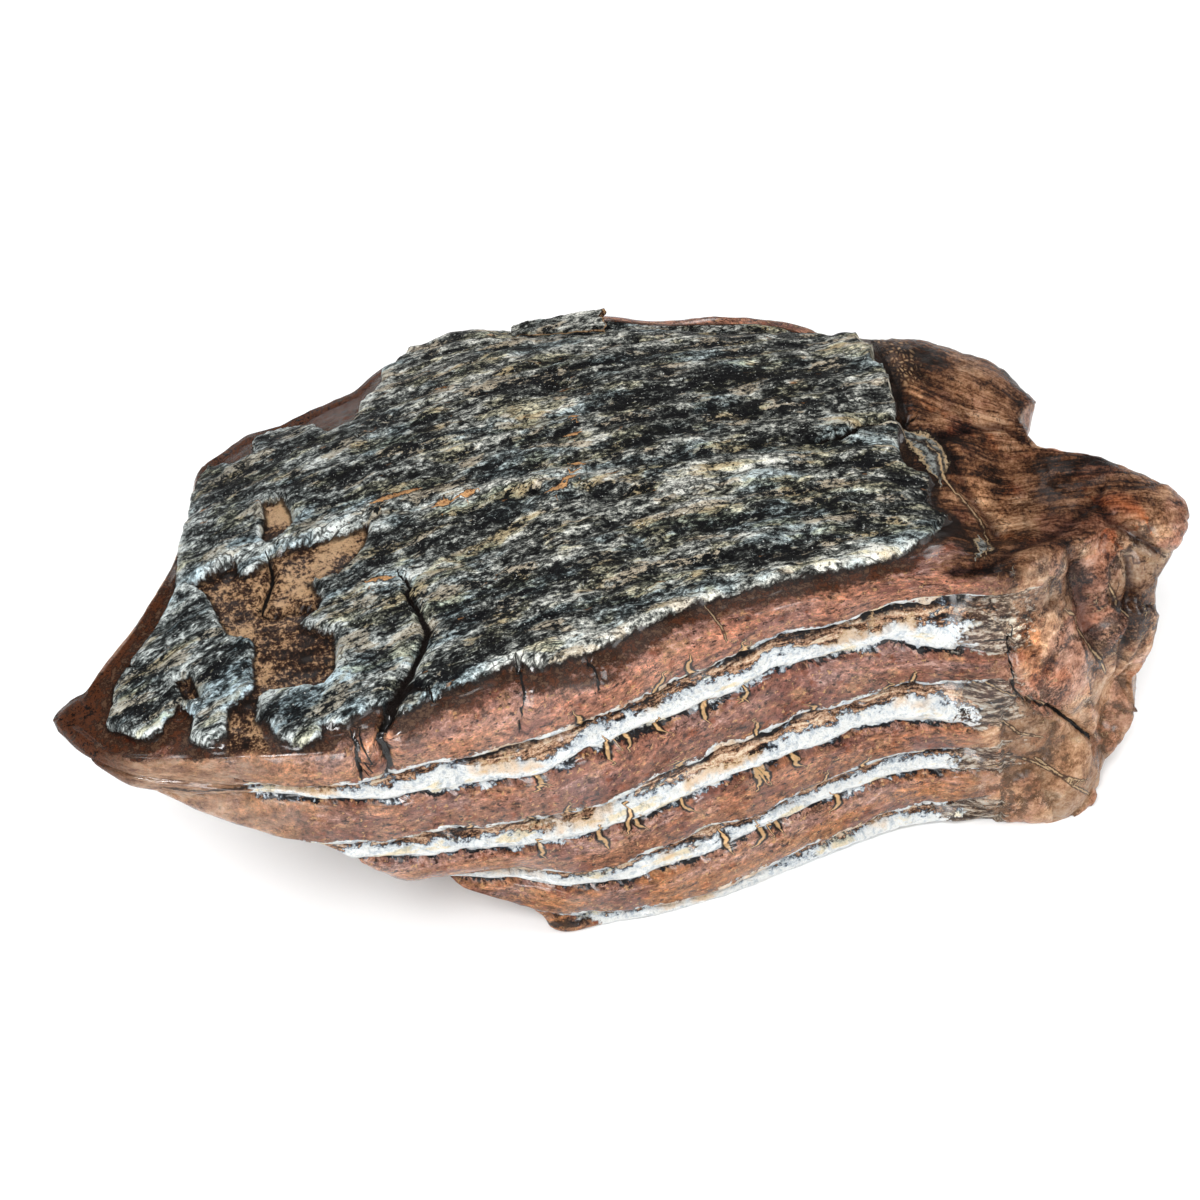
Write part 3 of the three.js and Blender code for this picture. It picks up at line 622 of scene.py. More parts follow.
class Tree:
    """A material's nodes: each method adds one and returns its output."""

    def __init__(self, material):
        self.nodes = material.node_tree.nodes
        self.links = material.node_tree.links

    def put(self, value, socket):
        if isinstance(value, bpy.types.NodeSocket):
            self.links.new(value, socket)
        elif value is not None:
            socket.default_value = value

    def add(self, kind, output, inputs, **settings):
        node = self.nodes.new(kind)
        for name, value in settings.items():
            setattr(node, name, value)
        for name, value in inputs.items():
            self.put(value, node.inputs[name])
        return node.outputs[output]

    def field(self, name, output="Fac"):
        return self.add("ShaderNodeAttribute", output, {}, attribute_name=name)

    def noise(self, vector, scale, detail=4.0, rough=0.6):
        """Noise of 0 to 1 whose lumps are 1 / scale mm along each axis."""
        sized = self.vector("MULTIPLY", vector, scale if isinstance(scale, tuple) else (scale,) * 3)
        inputs = {"Vector": sized, "Scale": 1.0, "Detail": detail, "Roughness": rough}
        return self.add("ShaderNodeTexNoise", "Fac", inputs)

    def cells(self, vector, scale, feature="DISTANCE_TO_EDGE"):
        sized = self.vector("MULTIPLY", vector, (scale,) * 3)
        inputs = {"Vector": sized, "Scale": 1.0}
        return self.add("ShaderNodeTexVoronoi", "Distance", inputs, feature=feature)

    def warped(self, vector, scale, amount):
        """The vector moved about by smooth noise, by about a quarter of the amount."""
        sized = self.vector("MULTIPLY", vector, (scale,) * 3)
        swirl = self.add("ShaderNodeTexNoise", "Color", {"Vector": sized, "Scale": 1.0, "Detail": 2.0})
        push = self.vector("MULTIPLY", self.vector("SUBTRACT", swirl, (0.5,) * 3), (amount,) * 3)
        return self.vector("ADD", vector, push)

    def vector(self, operation, a, b):
        return self.add("ShaderNodeVectorMath", "Vector", {0: a, 1: b}, operation=operation)

    def axis(self, vector, name):
        return self.add("ShaderNodeSeparateXYZ", name, {"Vector": vector})

    def maths(self, operation, a, b=None):
        return self.add("ShaderNodeMath", "Value", {0: a, 1: b}, operation=operation)

    def times(self, a, b):
        return self.maths("MULTIPLY", a, b)

    def minus(self, a, b):
        return self.maths("SUBTRACT", a, b)

    def larger(self, a, b):
        return self.maths("MAXIMUM", a, b)

    def sum(self, *terms):
        """The sum of (weight, value) terms."""
        total = None
        for weight, value in terms:
            part = self.times(value, weight)
            total = part if total is None else self.maths("ADD", total, part)
        return total

    def below(self, value, low, high):
        return self.minus(1, self.above(value, low, high))

    def above(self, value, low, high):
        """0 where the value is below low, 1 above high, and smooth between."""
        inputs = {"Value": value, "From Min": low, "From Max": high}
        return self.add("ShaderNodeMapRange", "Result", inputs, interpolation_type="SMOOTHSTEP")

    def ramp(self, value, stops):
        node = self.nodes.new("ShaderNodeValToRGB")
        elements = node.color_ramp.elements
        while len(elements) < len(stops):
            elements.new(0.5)
        for element, (place, colour) in zip(elements, stops):
            element.position = place
        for element, (place, colour) in zip(elements, stops):
            element.color = (*colour, 1) if isinstance(colour, tuple) else (colour, colour, colour, 1)
        self.put(value, node.inputs["Fac"])
        return node.outputs["Color"]

    def blend(self, amount, a, b, kind="MIX"):
        node = self.nodes.new("ShaderNodeMix")
        node.data_type = "RGBA"
        node.blend_type = kind
        self.put(amount, node.inputs[0])
        for value, socket in ((a, node.inputs[6]), (b, node.inputs[7])):
            self.put((*value, 1) if isinstance(value, tuple) else value, socket)
        return node.outputs[2]

    def between(self, amount, a, b):
        """A value that goes from a to b."""
        node = self.nodes.new("ShaderNodeMix")
        for value, socket in zip((amount, a, b), (node.inputs[0], node.inputs[2], node.inputs[3])):
            self.put(value, socket)
        return node.outputs[0]


def enamel_sheet(t, place, flow):
    """Rough charcoal enamel with blue-grey, cream and tan streaks along the plate."""
    bent = t.warped(flow, 0.10, 3.5)
    broad = t.noise(bent, (0.055, 0.19, 0.1), 3, 0.6)
    streak = t.noise(bent, (0.30, 0.80, 0.5), 5, 0.75)
    blotch = t.noise(place, 0.35, 5, 0.75)
    grain = t.noise(t.vector("MULTIPLY", flow, (0.5, 1.0, 0.8)), 2.0, 3, 0.8)
    # The ridge relief lightens the ridge tops and darkens the valleys a little: painted shade.
    tone = t.sum((0.24, broad), (0.29, streak), (0.18, blotch), (0.29, grain), (0.040, t.field("ridge")),
                 (0.052, t.field("margin")), (-0.004, 1.0))
    colour = t.ramp(tone, [
        (0.44, (0.002, 0.002, 0.003)), (0.470, (0.008, 0.009, 0.009)), (0.490, (0.040, 0.043, 0.040)),
        (0.512, (0.150, 0.158, 0.144)), (0.540, (0.46, 0.465, 0.42)), (0.580, (0.95, 0.94, 0.86)),
    ])
    cream = t.noise(bent, (0.11, 0.42, 0.3), 3, 0.55)
    veiled = t.times(t.above(cream, 0.545, 0.60), t.above(tone, 0.485, 0.505))
    colour = t.blend(t.times(veiled, 0.58), colour, (0.60, 0.48, 0.33))
    olive = t.sum((1, t.noise(bent, (0.10, 0.36, 0.3), 3, 0.6)), (-0.1, t.field("margin")))
    olive = t.above(olive, 0.50, 0.60)
    colour = t.blend(t.times(olive, 0.8), colour, (0.98, 0.90, 0.66), "MULTIPLY")
    cold = t.above(t.noise(bent, (0.06, 0.20, 0.2), 3, 0.6), 0.51, 0.62)
    colour = t.blend(t.times(cold, 0.8), colour, (0.72, 0.88, 1.0), "MULTIPLY")
    bluish = t.times(t.below(t.axis(flow, "X"), -55, -5), 0.55)
    colour = t.blend(bluish, colour, (0.74, 0.86, 0.98), "MULTIPLY")
    glint = t.above(t.noise(place, 2.6, 2, 0.6), 0.66, 0.72)
    colour = t.blend(t.times(glint, 0.75), colour, (0.90, 0.92, 0.88))
    rust = t.above(t.noise(bent, (0.16, 0.6, 0.5), 4, 0.7), 0.665, 0.71)
    colour = t.blend(t.times(rust, 0.7), colour, (0.42, 0.20, 0.08))
    split = t.maths("ABSOLUTE", t.minus(t.noise(bent, (0.035, 0.28, 0.2), 4, 0.6), 0.5))
    split = t.times(t.below(split, 0.002, 0.014), t.above(t.noise(place, 0.12, 2), 0.44, 0.56))
    pit = t.below(t.cells(place, 1.7, "F1"), 0.16, 0.32)
    pit = t.times(pit, t.above(t.noise(place, 0.35, 3), 0.45, 0.56))
    scale = t.cells(t.vector("MULTIPLY", t.warped(bent, 0.5, 2.0), (0.34, 0.95, 0.9)), 1.0)
    scale = t.times(t.below(scale, 0.015, 0.09), t.above(t.noise(bent, (0.1, 0.2, 0.2), 3), 0.46, 0.55))
    dark = t.larger(split, t.times(pit, 0.8))
    dark = t.larger(dark, t.times(scale, 0.85))
    colour = t.blend(t.times(dark, 0.9), colour, (0.006, 0.006, 0.006))
    height = t.sum((1.5, grain), (0.9, blotch), (0.7, streak), (-0.45, dark))
    return colour, height, t.between(grain, 0.40, 0.62)


def flaked_ground(t, place):
    """Dark chocolate dentine under the lost enamel, with ochre specks in clusters."""
    patch = t.noise(place, 0.17, 4, 0.6)
    speck = t.noise(place, 1.3, 6, 0.8)
    small = t.above(t.axis(place, "Y"), 4.5, 7.0)
    amount = t.sum((0.40, patch), (0.60, speck), (0.05, small))
    colour = t.ramp(amount, [
        (0.42, (0.010, 0.005, 0.003)), (0.475, (0.050, 0.022, 0.013)), (0.500, (0.105, 0.050, 0.027)),
        (0.518, (0.50, 0.285, 0.145)), (0.58, (0.74, 0.48, 0.27)),
    ])
    return colour, t.sum((1.6, speck), (0.8, patch))


def cement(t, place, flow, band, top):
    """Polished cement: pink-brown in the top band and more orange lower down, mottled and pitted, with
    painted shade at each band's lower edge and a painted pink sheen and glints on its upper part.
    """
    base = t.ramp(t.maths("DIVIDE", band, BANDS), [
        (0.10, (0.60, 0.245, 0.090)), (0.33, (0.56, 0.225, 0.094)), (0.58, (0.42, 0.172, 0.102)),
        (0.72, (0.40, 0.160, 0.100)), (0.90, (0.68, 0.295, 0.180)),
    ])
    sunny = t.below(t.axis(flow, "X"), -62, -8)
    base = t.blend(t.times(sunny, 0.6), base, (0.70, 0.345, 0.175))
    height_in_band = t.maths("FRACT", band)
    # Painted light and shade across each cement band: dark at its lower edge, brightest on its upper part,
    # where the swelling faces up.
    band_light_and_shade = t.ramp(height_in_band, [
        (0.0, 0.30), (0.12, 0.78), (0.5, 1.0), (0.74, 1.30), (0.9, 1.15), (1.0, 0.7),
    ])
    colour = t.blend(1.0, base, band_light_and_shade, "MULTIPLY")
    mottle = t.noise(flow, (0.10, 0.24, 0.24), 5, 0.66)
    colour = t.blend(t.times(t.above(mottle, 0.47, 0.60), 0.75), colour, (0.235, 0.088, 0.072))
    wide = t.above(t.noise(flow, (0.07, 0.28, 0.28), 4), 0.44, 0.60)
    # A painted pink sheen in broad patches on the upper part of each band: painted highlight on the wet,
    # glossy swelling.
    pale = t.times(t.above(height_in_band, 0.40, 0.75), wide)
    colour = t.blend(t.times(pale, 0.55), colour, (0.58, 0.33, 0.28))
    light = t.above(t.noise(flow, (0.2, 0.45, 0.45), 5, 0.7), 0.54, 0.66)
    colour = t.blend(t.times(light, 0.6), colour, (0.76, 0.40, 0.20))
    grain = t.noise(t.vector("MULTIPLY", flow, (0.55, 1.0, 1.0)), 1.3, 6, 0.78)
    grainy = t.ramp(grain, [(0.38, 0.20), (0.46, 0.78), (0.54, 1.08), (0.61, 1.8)])
    colour = t.blend(1.0, colour, grainy, "MULTIPLY")
    # Painted glints: pale pink specks within the painted sheen.
    painted_glints = t.times(t.above(grain, 0.54, 0.60), pale)
    colour = t.blend(t.times(painted_glints, 0.7), colour, (0.80, 0.58, 0.50))
    rust = t.above(t.noise(place, 0.45, 5, 0.75), 0.56, 0.64)
    colour = t.blend(t.times(rust, 0.6), colour, (0.36, 0.075, 0.018))
    pitted = t.above(t.noise(flow, (0.07, 0.2, 0.2), 4, 0.7), 0.50, 0.58)
    pits = t.times(t.above(t.noise(place, 1.5, 4, 0.7), 0.53, 0.58), pitted)
    colour = t.blend(t.times(pits, 0.75), colour, (0.085, 0.030, 0.022))
    dot = t.above(t.noise(place, 1.1, 3, 0.65), 0.615, 0.65)
    colour = t.blend(t.times(dot, 0.8), colour, (0.86, 0.50, 0.22))
    dark = t.above(t.noise(t.vector("MULTIPLY", flow, (0.5, 1.0, 1.0)), 1.6, 4, 0.72), 0.585, 0.63)
    colour = t.blend(t.times(dark, 0.9), colour, (0.030, 0.012, 0.009))
    far_left = t.below(t.axis(flow, "X"), -74, -48)
    # Lighter, grainy tan on the sides of the far-left end, fading out on the top.
    far_left_tan = t.ramp(t.noise(flow, (0.16, 0.4, 0.6), 6, 0.75), [
        (0.38, (0.20, 0.095, 0.050)), (0.5, (0.62, 0.35, 0.20)), (0.62, (0.86, 0.60, 0.41)),
    ])
    far_left = t.times(far_left, t.minus(0.75, t.times(top, 0.75)))
    colour = t.blend(far_left, colour, far_left_tan)
    return colour, t.sum((3.6, grain), (1.0, mottle), (-1.0, dark))


def enamel_pair(t, place, flow, within):
    """One cut lamella: a thin white lip, a recess painted near black as shade, striped dentine and the broad
    white face with painted shade along its lower edge.
    """
    bent = t.warped(flow, 0.22, 2.5)
    stripes = t.noise(bent, (0.10, 0.10, 1.5), 5, 0.72)
    fibre = t.noise(bent, (0.30, 0.8, 0.8), 5, 0.72)
    speck = t.noise(place, 1.3, 4, 0.7)
    body = t.noise(flow, (0.055, 0.12, 0.12), 2, 0.5)
    layers = t.sum((0.62, stripes), (0.38, t.noise(place, 1.9, 4, 0.8)))
    dentine = t.ramp(layers, [
        (0.435, (0.004, 0.003, 0.003)), (0.470, (0.060, 0.026, 0.013)), (0.500, (0.34, 0.165, 0.085)),
        (0.545, (0.66, 0.42, 0.27)), (0.60, (0.86, 0.72, 0.54)),
    ])
    layered = t.ramp(within, [(0.36, 0.0), (0.44, 1.0), (0.62, 1.0), (0.71, 0.0)])
    # Outside the dentine stripe the colour is near black: painted shade in the recess under the lip and along
    # the lower edge of the white face.
    under = t.blend(layered, (0.006, 0.005, 0.006), dentine)
    cover = t.ramp(within, [
        (0.0, 0.05), (0.05, 0.16), (0.09, 0.72), (0.18, 0.96), (0.34, 0.94), (0.43, 0.56), (0.52, 0.12),
        (0.60, 0.06), (0.89, 0.06), (0.93, 0.40), (0.95, 0.90), (1.0, 0.90),
    ])
    cover = t.sum((1, cover), (1.0, t.minus(speck, 0.5)), (2.2, t.minus(fibre, 0.5)),
                  (1.6, t.minus(body, 0.46)))
    white = t.ramp(cover, [
        (0.32, (0.012, 0.014, 0.020)), (0.42, (0.09, 0.11, 0.14)), (0.52, (0.46, 0.51, 0.55)),
        (0.64, (0.76, 0.80, 0.82)), (0.88, (0.85, 0.86, 0.84)),
    ])
    frost = t.noise(bent, (0.9, 1.5, 1.5), 4, 0.7)
    frost = t.ramp(frost, [(0.38, (0.42, 0.50, 0.60)), (0.50, (1.0, 1.0, 1.0))])
    white = t.blend(0.6, white, frost, "MULTIPLY")
    stain = t.above(t.noise(flow, (0.10, 0.35, 0.35), 4, 0.65), 0.56, 0.64)
    white = t.blend(t.times(stain, 0.8), white, (1.0, 0.83, 0.55), "MULTIPLY")
    gold = t.times(t.above(within, 0.27, 0.40), t.above(t.noise(flow, (0.09, 0.1, 0.1), 3), 0.54, 0.64))
    white = t.blend(t.times(gold, 0.7), white, (0.78, 0.50, 0.25))
    colour = t.blend(t.above(cover, 0.28, 0.36), under, white)
    return colour, t.sum((1.4, layers), (0.3, cover), (1.3, speck))


def root_stone(t, place, flow, top, plate):
    """Brown root: umber, tan and purple patches, with a grain along the roots on their upper side."""
    bent = t.warped(flow, 0.07, 3.5)
    grain = t.noise(bent, (0.06, 0.80, 0.4), 6, 0.72)
    rough = t.noise(place, 0.45, 7, 0.75)
    patch = t.noise(place, 0.085, 5, 0.62)
    fine = t.noise(place, 1.9, 5, 0.8)
    body = t.between(t.times(top, 0.8), rough, grain)
    tone = t.sum((0.40, body), (0.36, patch), (0.24, fine), (-0.055, top))
    colour = t.ramp(tone, [
        (0.39, (0.010, 0.005, 0.003)), (0.43, (0.060, 0.024, 0.012)), (0.460, (0.22, 0.092, 0.042)),
        (0.500, (0.47, 0.245, 0.130)), (0.55, (0.72, 0.45, 0.275)), (0.61, (0.92, 0.72, 0.52)),
    ])
    side = t.minus(1, t.times(top, 0.7))
    plane = t.times(t.field("plane"), side)
    lit = t.ramp(t.maths("ADD", plane, 0.5), [(0.36, 0.62), (0.47, 0.97), (0.55, 1.12), (0.68, 1.36)])
    colour = t.blend(1.0, colour, lit, "MULTIPLY")
    purple = t.above(t.sum((0.8, t.noise(place, 0.075, 4, 0.6)), (0.5, plane), (0.1, 1.0)), 0.50, 0.58)
    colour = t.blend(t.times(purple, 0.7), colour, (0.74, 0.60, 0.72), "MULTIPLY")
    rust = t.above(t.noise(place, 0.13, 5, 0.65), 0.56, 0.66)
    colour = t.blend(t.times(rust, 0.6), colour, (0.95, 0.58, 0.36), "MULTIPLY")
    crease = t.maths("ADD", t.field("crease"), t.times(t.minus(fine, 0.5), 4.5))
    crease = t.times(t.below(crease, 0.1, 0.8), t.above(t.noise(place, 0.10, 3), 0.42, 0.56))
    colour = t.blend(t.times(t.times(crease, side), 0.8), colour, (0.022, 0.010, 0.008))
    where = t.above(t.noise(place, 0.12, 2), 0.44, 0.54)
    split = t.maths("ABSOLUTE", t.minus(t.noise(place, 0.16, 5, 0.62), 0.5))
    split = t.times(t.below(split, 0.001, 0.008), where)
    colour = t.blend(t.times(split, 0.85), colour, (0.012, 0.006, 0.005))
    thread = t.maths("ABSOLUTE", t.minus(t.noise(place, 0.20, 4, 0.6), 0.47))
    thread = t.times(t.below(thread, 0.001, 0.008), t.above(t.noise(place, 0.15, 3), 0.49, 0.56))
    thread = t.times(thread, t.minus(1, top))
    colour = t.blend(t.times(thread, 0.8), colour, (0.66, 0.45, 0.24))
    low = t.times(t.below(t.axis(place, "Z"), 16, 28), 0.22)
    colour = t.blend(low, colour, (0.52, 0.29, 0.15))
    across = t.times(t.above(t.axis(place, "Y"), -1, 3), top)
    beside = t.times(t.above(plate, -7.5, -5.0), t.below(plate, -1.8, -1.0))
    network = t.times(t.times(beside, t.above(t.axis(place, "X"), 43, 46)), across)
    mesh_line = t.cells(t.vector("MULTIPLY", t.warped(place, 0.4, 1.6), (1.5, 0.85, 1.0)), 1.0)
    netted = t.ramp(mesh_line, [
        (0.08, (0.014, 0.007, 0.005)), (0.20, (0.10, 0.05, 0.026)), (0.36, (0.48, 0.30, 0.16)),
    ])
    colour = t.blend(t.times(network, 0.8), colour, netted)
    return colour, t.sum((1.0, body), (1.3, fine), (-0.4, split), (0.2, thread), (-0.5, crease))


def bare_places(t, place, top):
    """Where no cement covers the plate: on top beside the sheet, and at the tip and the far crown edge."""
    x, y, band = t.axis(place, "X"), t.axis(place, "Y"), t.field("band")
    left = t.times(t.below(x, -66, -62), t.above(y, -31, -27))
    crown = t.times(t.larger(left, t.above(y, 8, 12)), t.above(top, 0.3, 0.7))
    tip = t.times(t.below(x, -83, -76), t.above(band, 4.6, 5.6))
    behind = t.times(t.times(t.above(y, 22, 28), t.above(band, 5.6, 6.6)), t.below(x, -20, -8))
    return crown, t.larger(tip, behind)


def line_mask(t, name, wobble, inner, outer):
    """1 along the lines whose distance is kept in the attribute, with a ragged edge."""
    gap = t.maths("ABSOLUTE", t.maths("ADD", t.field(name), wobble))
    return t.times(t.below(gap, inner, outer), t.above(t.field(name + "_on"), 0.15, 0.5))


def drawn_lines(t, place, colour, fray, loose, grit):
    """The rib, the veins, the mineral seams and the cracks, each with its dark edge, laid over the colour."""
    wobble = t.times(fray, 1.6)
    knotty = t.sum((2.6, fray), (2.0, loose))
    rib_edge = t.times(fray, 2.0)
    colour = t.blend(line_mask(t, "rib", rib_edge, 1.5, 1.9), colour, (0.018, 0.010, 0.008))
    colour = t.blend(line_mask(t, "rib", rib_edge, 1.15, 1.3), colour, (0.60, 0.44, 0.26))
    rib_colour = t.blend(t.above(grit, 0.44, 0.56), (0.05, 0.055, 0.055), (0.44, 0.46, 0.43))
    colour = t.blend(line_mask(t, "rib", rib_edge, 0.8, 1.0), colour, rib_colour)
    whole = t.above(t.noise(place, 0.45, 4, 0.6), 0.40, 0.50)
    vein_shade = t.times(line_mask(t, "vein", knotty, 1.2, 2.2), 0.8)
    vein = t.times(line_mask(t, "vein", knotty, 0.3, 0.8), whole)
    colour = t.blend(vein_shade, colour, (0.025, 0.012, 0.009))
    colour = t.blend(vein, colour, (0.62, 0.43, 0.24))
    colour = t.blend(line_mask(t, "stitch", wobble, 1.3, 2.1), colour, (0.018, 0.008, 0.006))
    colour = t.blend(line_mask(t, "stitch", wobble, 0.4, 0.9), colour, (0.86, 0.54, 0.26))
    colour = t.blend(line_mask(t, "crack", wobble, 0.6, 1.05), colour, (0.008, 0.005, 0.004))
    return colour


def fossil_tooth():
    """The whole tooth's material: each zone's colour and relief, laid over the last by its own mask."""
    material = bpy.data.materials.new("fossil_tooth")
    material.use_nodes = True
    t = Tree(material)
    coords = t.add("ShaderNodeTexCoord", "Object", {})
    place = t.vector("SCALE", coords, None)
    place.node.inputs["Scale"].default_value = 1 / MM
    flow = t.field("flow", "Vector")
    top = t.field("top")
    fray = t.minus(t.noise(place, 1.4, 5, 0.7), 0.5)
    loose = t.minus(t.noise(flow, (0.22, 0.5, 0.5), 5, 0.65), 0.5)

    band = t.sum((1, t.field("band")), (0.35, loose), (0.22, fray))
    band = t.maths("MINIMUM", t.larger(band, 0.02), BANDS - 0.02)
    share = t.times(t.maths("FRACT", t.times(band, 0.5)), 2)
    within = t.maths("MINIMUM", share, 1)
    colour, height = cement(t, place, flow, band, top)
    pair_colour, pair_height = enamel_pair(t, place, flow, within)
    along = t.sum((1, t.field("pair")), (14, loose), (5, fray))
    between_seams = t.below(share, 1.055, 1.07)
    root_edge = t.sum((1, t.field("root")), (20, loose), (3, fray))
    torn = t.sum((1, root_edge), (14, fray))
    on_pair = t.times(between_seams, t.above(along, -0.5, 0.8))
    ends = t.times(on_pair, t.below(torn, 4.0, 6.0))
    on_pair = t.times(on_pair, t.below(torn, -3.0, -1.5))
    closed = t.maths("ABSOLUTE", t.minus(within, 0.42))
    closed = t.times(t.below(closed, 0.03, 0.09), t.above(along, -13, -9))
    colour = t.blend(t.times(closed, 0.9), colour, (0.012, 0.007, 0.006))
    colour = t.blend(on_pair, colour, pair_colour)
    height = t.between(on_pair, height, pair_height)
    gloss = t.between(on_pair, 0.24, 0.40)

    plate = t.field("plate")
    rim_edge = t.sum((1, plate), (4, loose), (2.4, fray))
    crown, edges = bare_places(t, place, top)
    facing_up = t.above(t.sum((1, top), (2.4, loose), (1.2, fray)), 0.10, 0.45)
    rim = t.times(t.larger(t.above(rim_edge, -3.3, -2.2), crown), t.above(t.field("band"), 7.25, 7.5))
    rim = t.times(rim, t.larger(facing_up, t.above(t.axis(place, "X"), -48, -36)))
    rim = t.larger(rim, edges)
    grit = t.noise(place, 0.9, 6, 0.78)
    rim_tone = t.sum((0.10, t.above(rim_edge, -4.0, -1.2)), (1, grit))
    rim_colour = t.ramp(rim_tone, [
        (0.42, (0.016, 0.007, 0.004)), (0.50, (0.21, 0.062, 0.022)), (0.56, (0.080, 0.032, 0.017)),
        (0.61, (0.036, 0.016, 0.010)), (0.67, (0.20, 0.10, 0.055)),
    ])
    colour = t.blend(rim, colour, rim_colour)

    root_colour, root_height = root_stone(t, place, flow, top, plate)
    on_root = t.above(root_edge, -3.5, 3.5)
    colour = t.blend(on_root, colour, root_colour)
    height = t.between(on_root, height, root_height)
    frayed = t.ramp(t.noise(flow, (0.35, 0.9, 1.6), 6, 0.75), [
        (0.44, (0.010, 0.008, 0.008)), (0.49, (0.09, 0.060, 0.045)), (0.53, (0.50, 0.38, 0.27)),
        (0.60, (0.80, 0.76, 0.66)),
    ])
    ends = t.times(ends, t.above(torn, -3.6, -2.2))
    colour = t.blend(t.times(ends, 0.85), colour, frayed)

    flake_colour, flake_height = flaked_ground(t, place)
    on_flake = t.above(t.sum((1, t.field("flaked")), (1.2, fray)), -0.3, 0.3)
    on_flake = t.times(on_flake, top)
    colour = t.blend(on_flake, colour, flake_colour)
    height = t.between(on_flake, height, flake_height)
    gloss = t.between(on_flake, gloss, 0.75)

    soft = t.times(loose, 2.5)
    for name, amount, tint in (("tan", 0.9, (1.7, 1.75, 1.7)), ("amber", 0.8, (1.0, 0.52, 0.30))):
        mask = t.times(line_mask(t, name, soft, 0.1, 1.7), amount)
        colour = t.blend(mask, colour, tint, "MULTIPLY")
    shade = line_mask(t, "shade", soft, 0.2, 1.8)
    colour = t.blend(t.times(shade, 0.85), colour, (0.16, 0.11, 0.13), "MULTIPLY")

    sheet_colour, sheet_height, sheet_gloss = enamel_sheet(t, place, flow)
    comb = t.minus(t.noise(flow, (0.6, 0.5, 1.0), 3, 0.7), 0.5)
    edge = t.sum((1, plate), (0.9, fray), (0.7, comb))
    far_edge = t.times(t.above(t.axis(place, "Y"), 32, 36), t.above(t.field("band"), 7.3, 7.6))
    lying = t.larger(t.above(top, 0.1, 0.4), far_edge)
    on_sheet = t.times(t.above(edge, -0.15, 0.15), lying)
    gap = t.times(t.above(edge, -2.6, -1.4), t.above(t.axis(place, "X"), 43, 46))
    # The dark band just outside the sheet's edge is partly its dark broken edge and partly painted shade at
    # the foot of the sheet's step.
    outline = t.times(t.larger(t.above(edge, -0.8, -0.2), gap), lying)
    colour = t.blend(t.times(outline, 0.85), colour, (0.010, 0.007, 0.006))
    chipped = t.times(fray, 3)
    ochre_edge = t.times(line_mask(t, "ochre", chipped, 1.1, 1.6), 0.9)
    ochre = t.blend(t.above(fray, -0.12, 0.02), (0.22, 0.085, 0.030), (0.66, 0.36, 0.16))
    sheet_colour = t.blend(ochre_edge, sheet_colour, (0.012, 0.008, 0.006))
    sheet_colour = t.blend(line_mask(t, "ochre", chipped, 0.7, 1.0), sheet_colour, ochre)
    colour = t.blend(on_sheet, colour, sheet_colour)
    height = t.between(on_sheet, height, sheet_height)
    gloss = t.between(on_sheet, gloss, sheet_gloss)

    colour = drawn_lines(t, place, colour, fray, loose, grit)

    shader = t.nodes["Principled BSDF"]
    wet = t.ramp(t.noise(place, 0.14, 3, 0.6), [(0.40, 0.25), (0.56, 1.0)])
    dry = t.larger(on_sheet, t.times(on_flake, 0.9))
    dry = t.larger(dry, t.times(t.larger(crown, edges), 0.9))
    t.put(colour, shader.inputs["Base Color"])
    t.put(gloss, shader.inputs["Roughness"])
    dry = t.larger(dry, t.times(on_root, t.between(top, 0.45, 0.9)))
    t.put(t.times(wet, t.minus(1, dry)), shader.inputs["Coat Weight"])
    shader.inputs["Coat Roughness"].default_value = 0.17
    shader.inputs["Specular IOR Level"].default_value = 0.1
    bump = t.add("ShaderNodeBump", "Normal", {"Height": height, "Strength": 1.0, "Distance": 0.0008})
    t.put(bump, shader.inputs["Normal"])
    return material


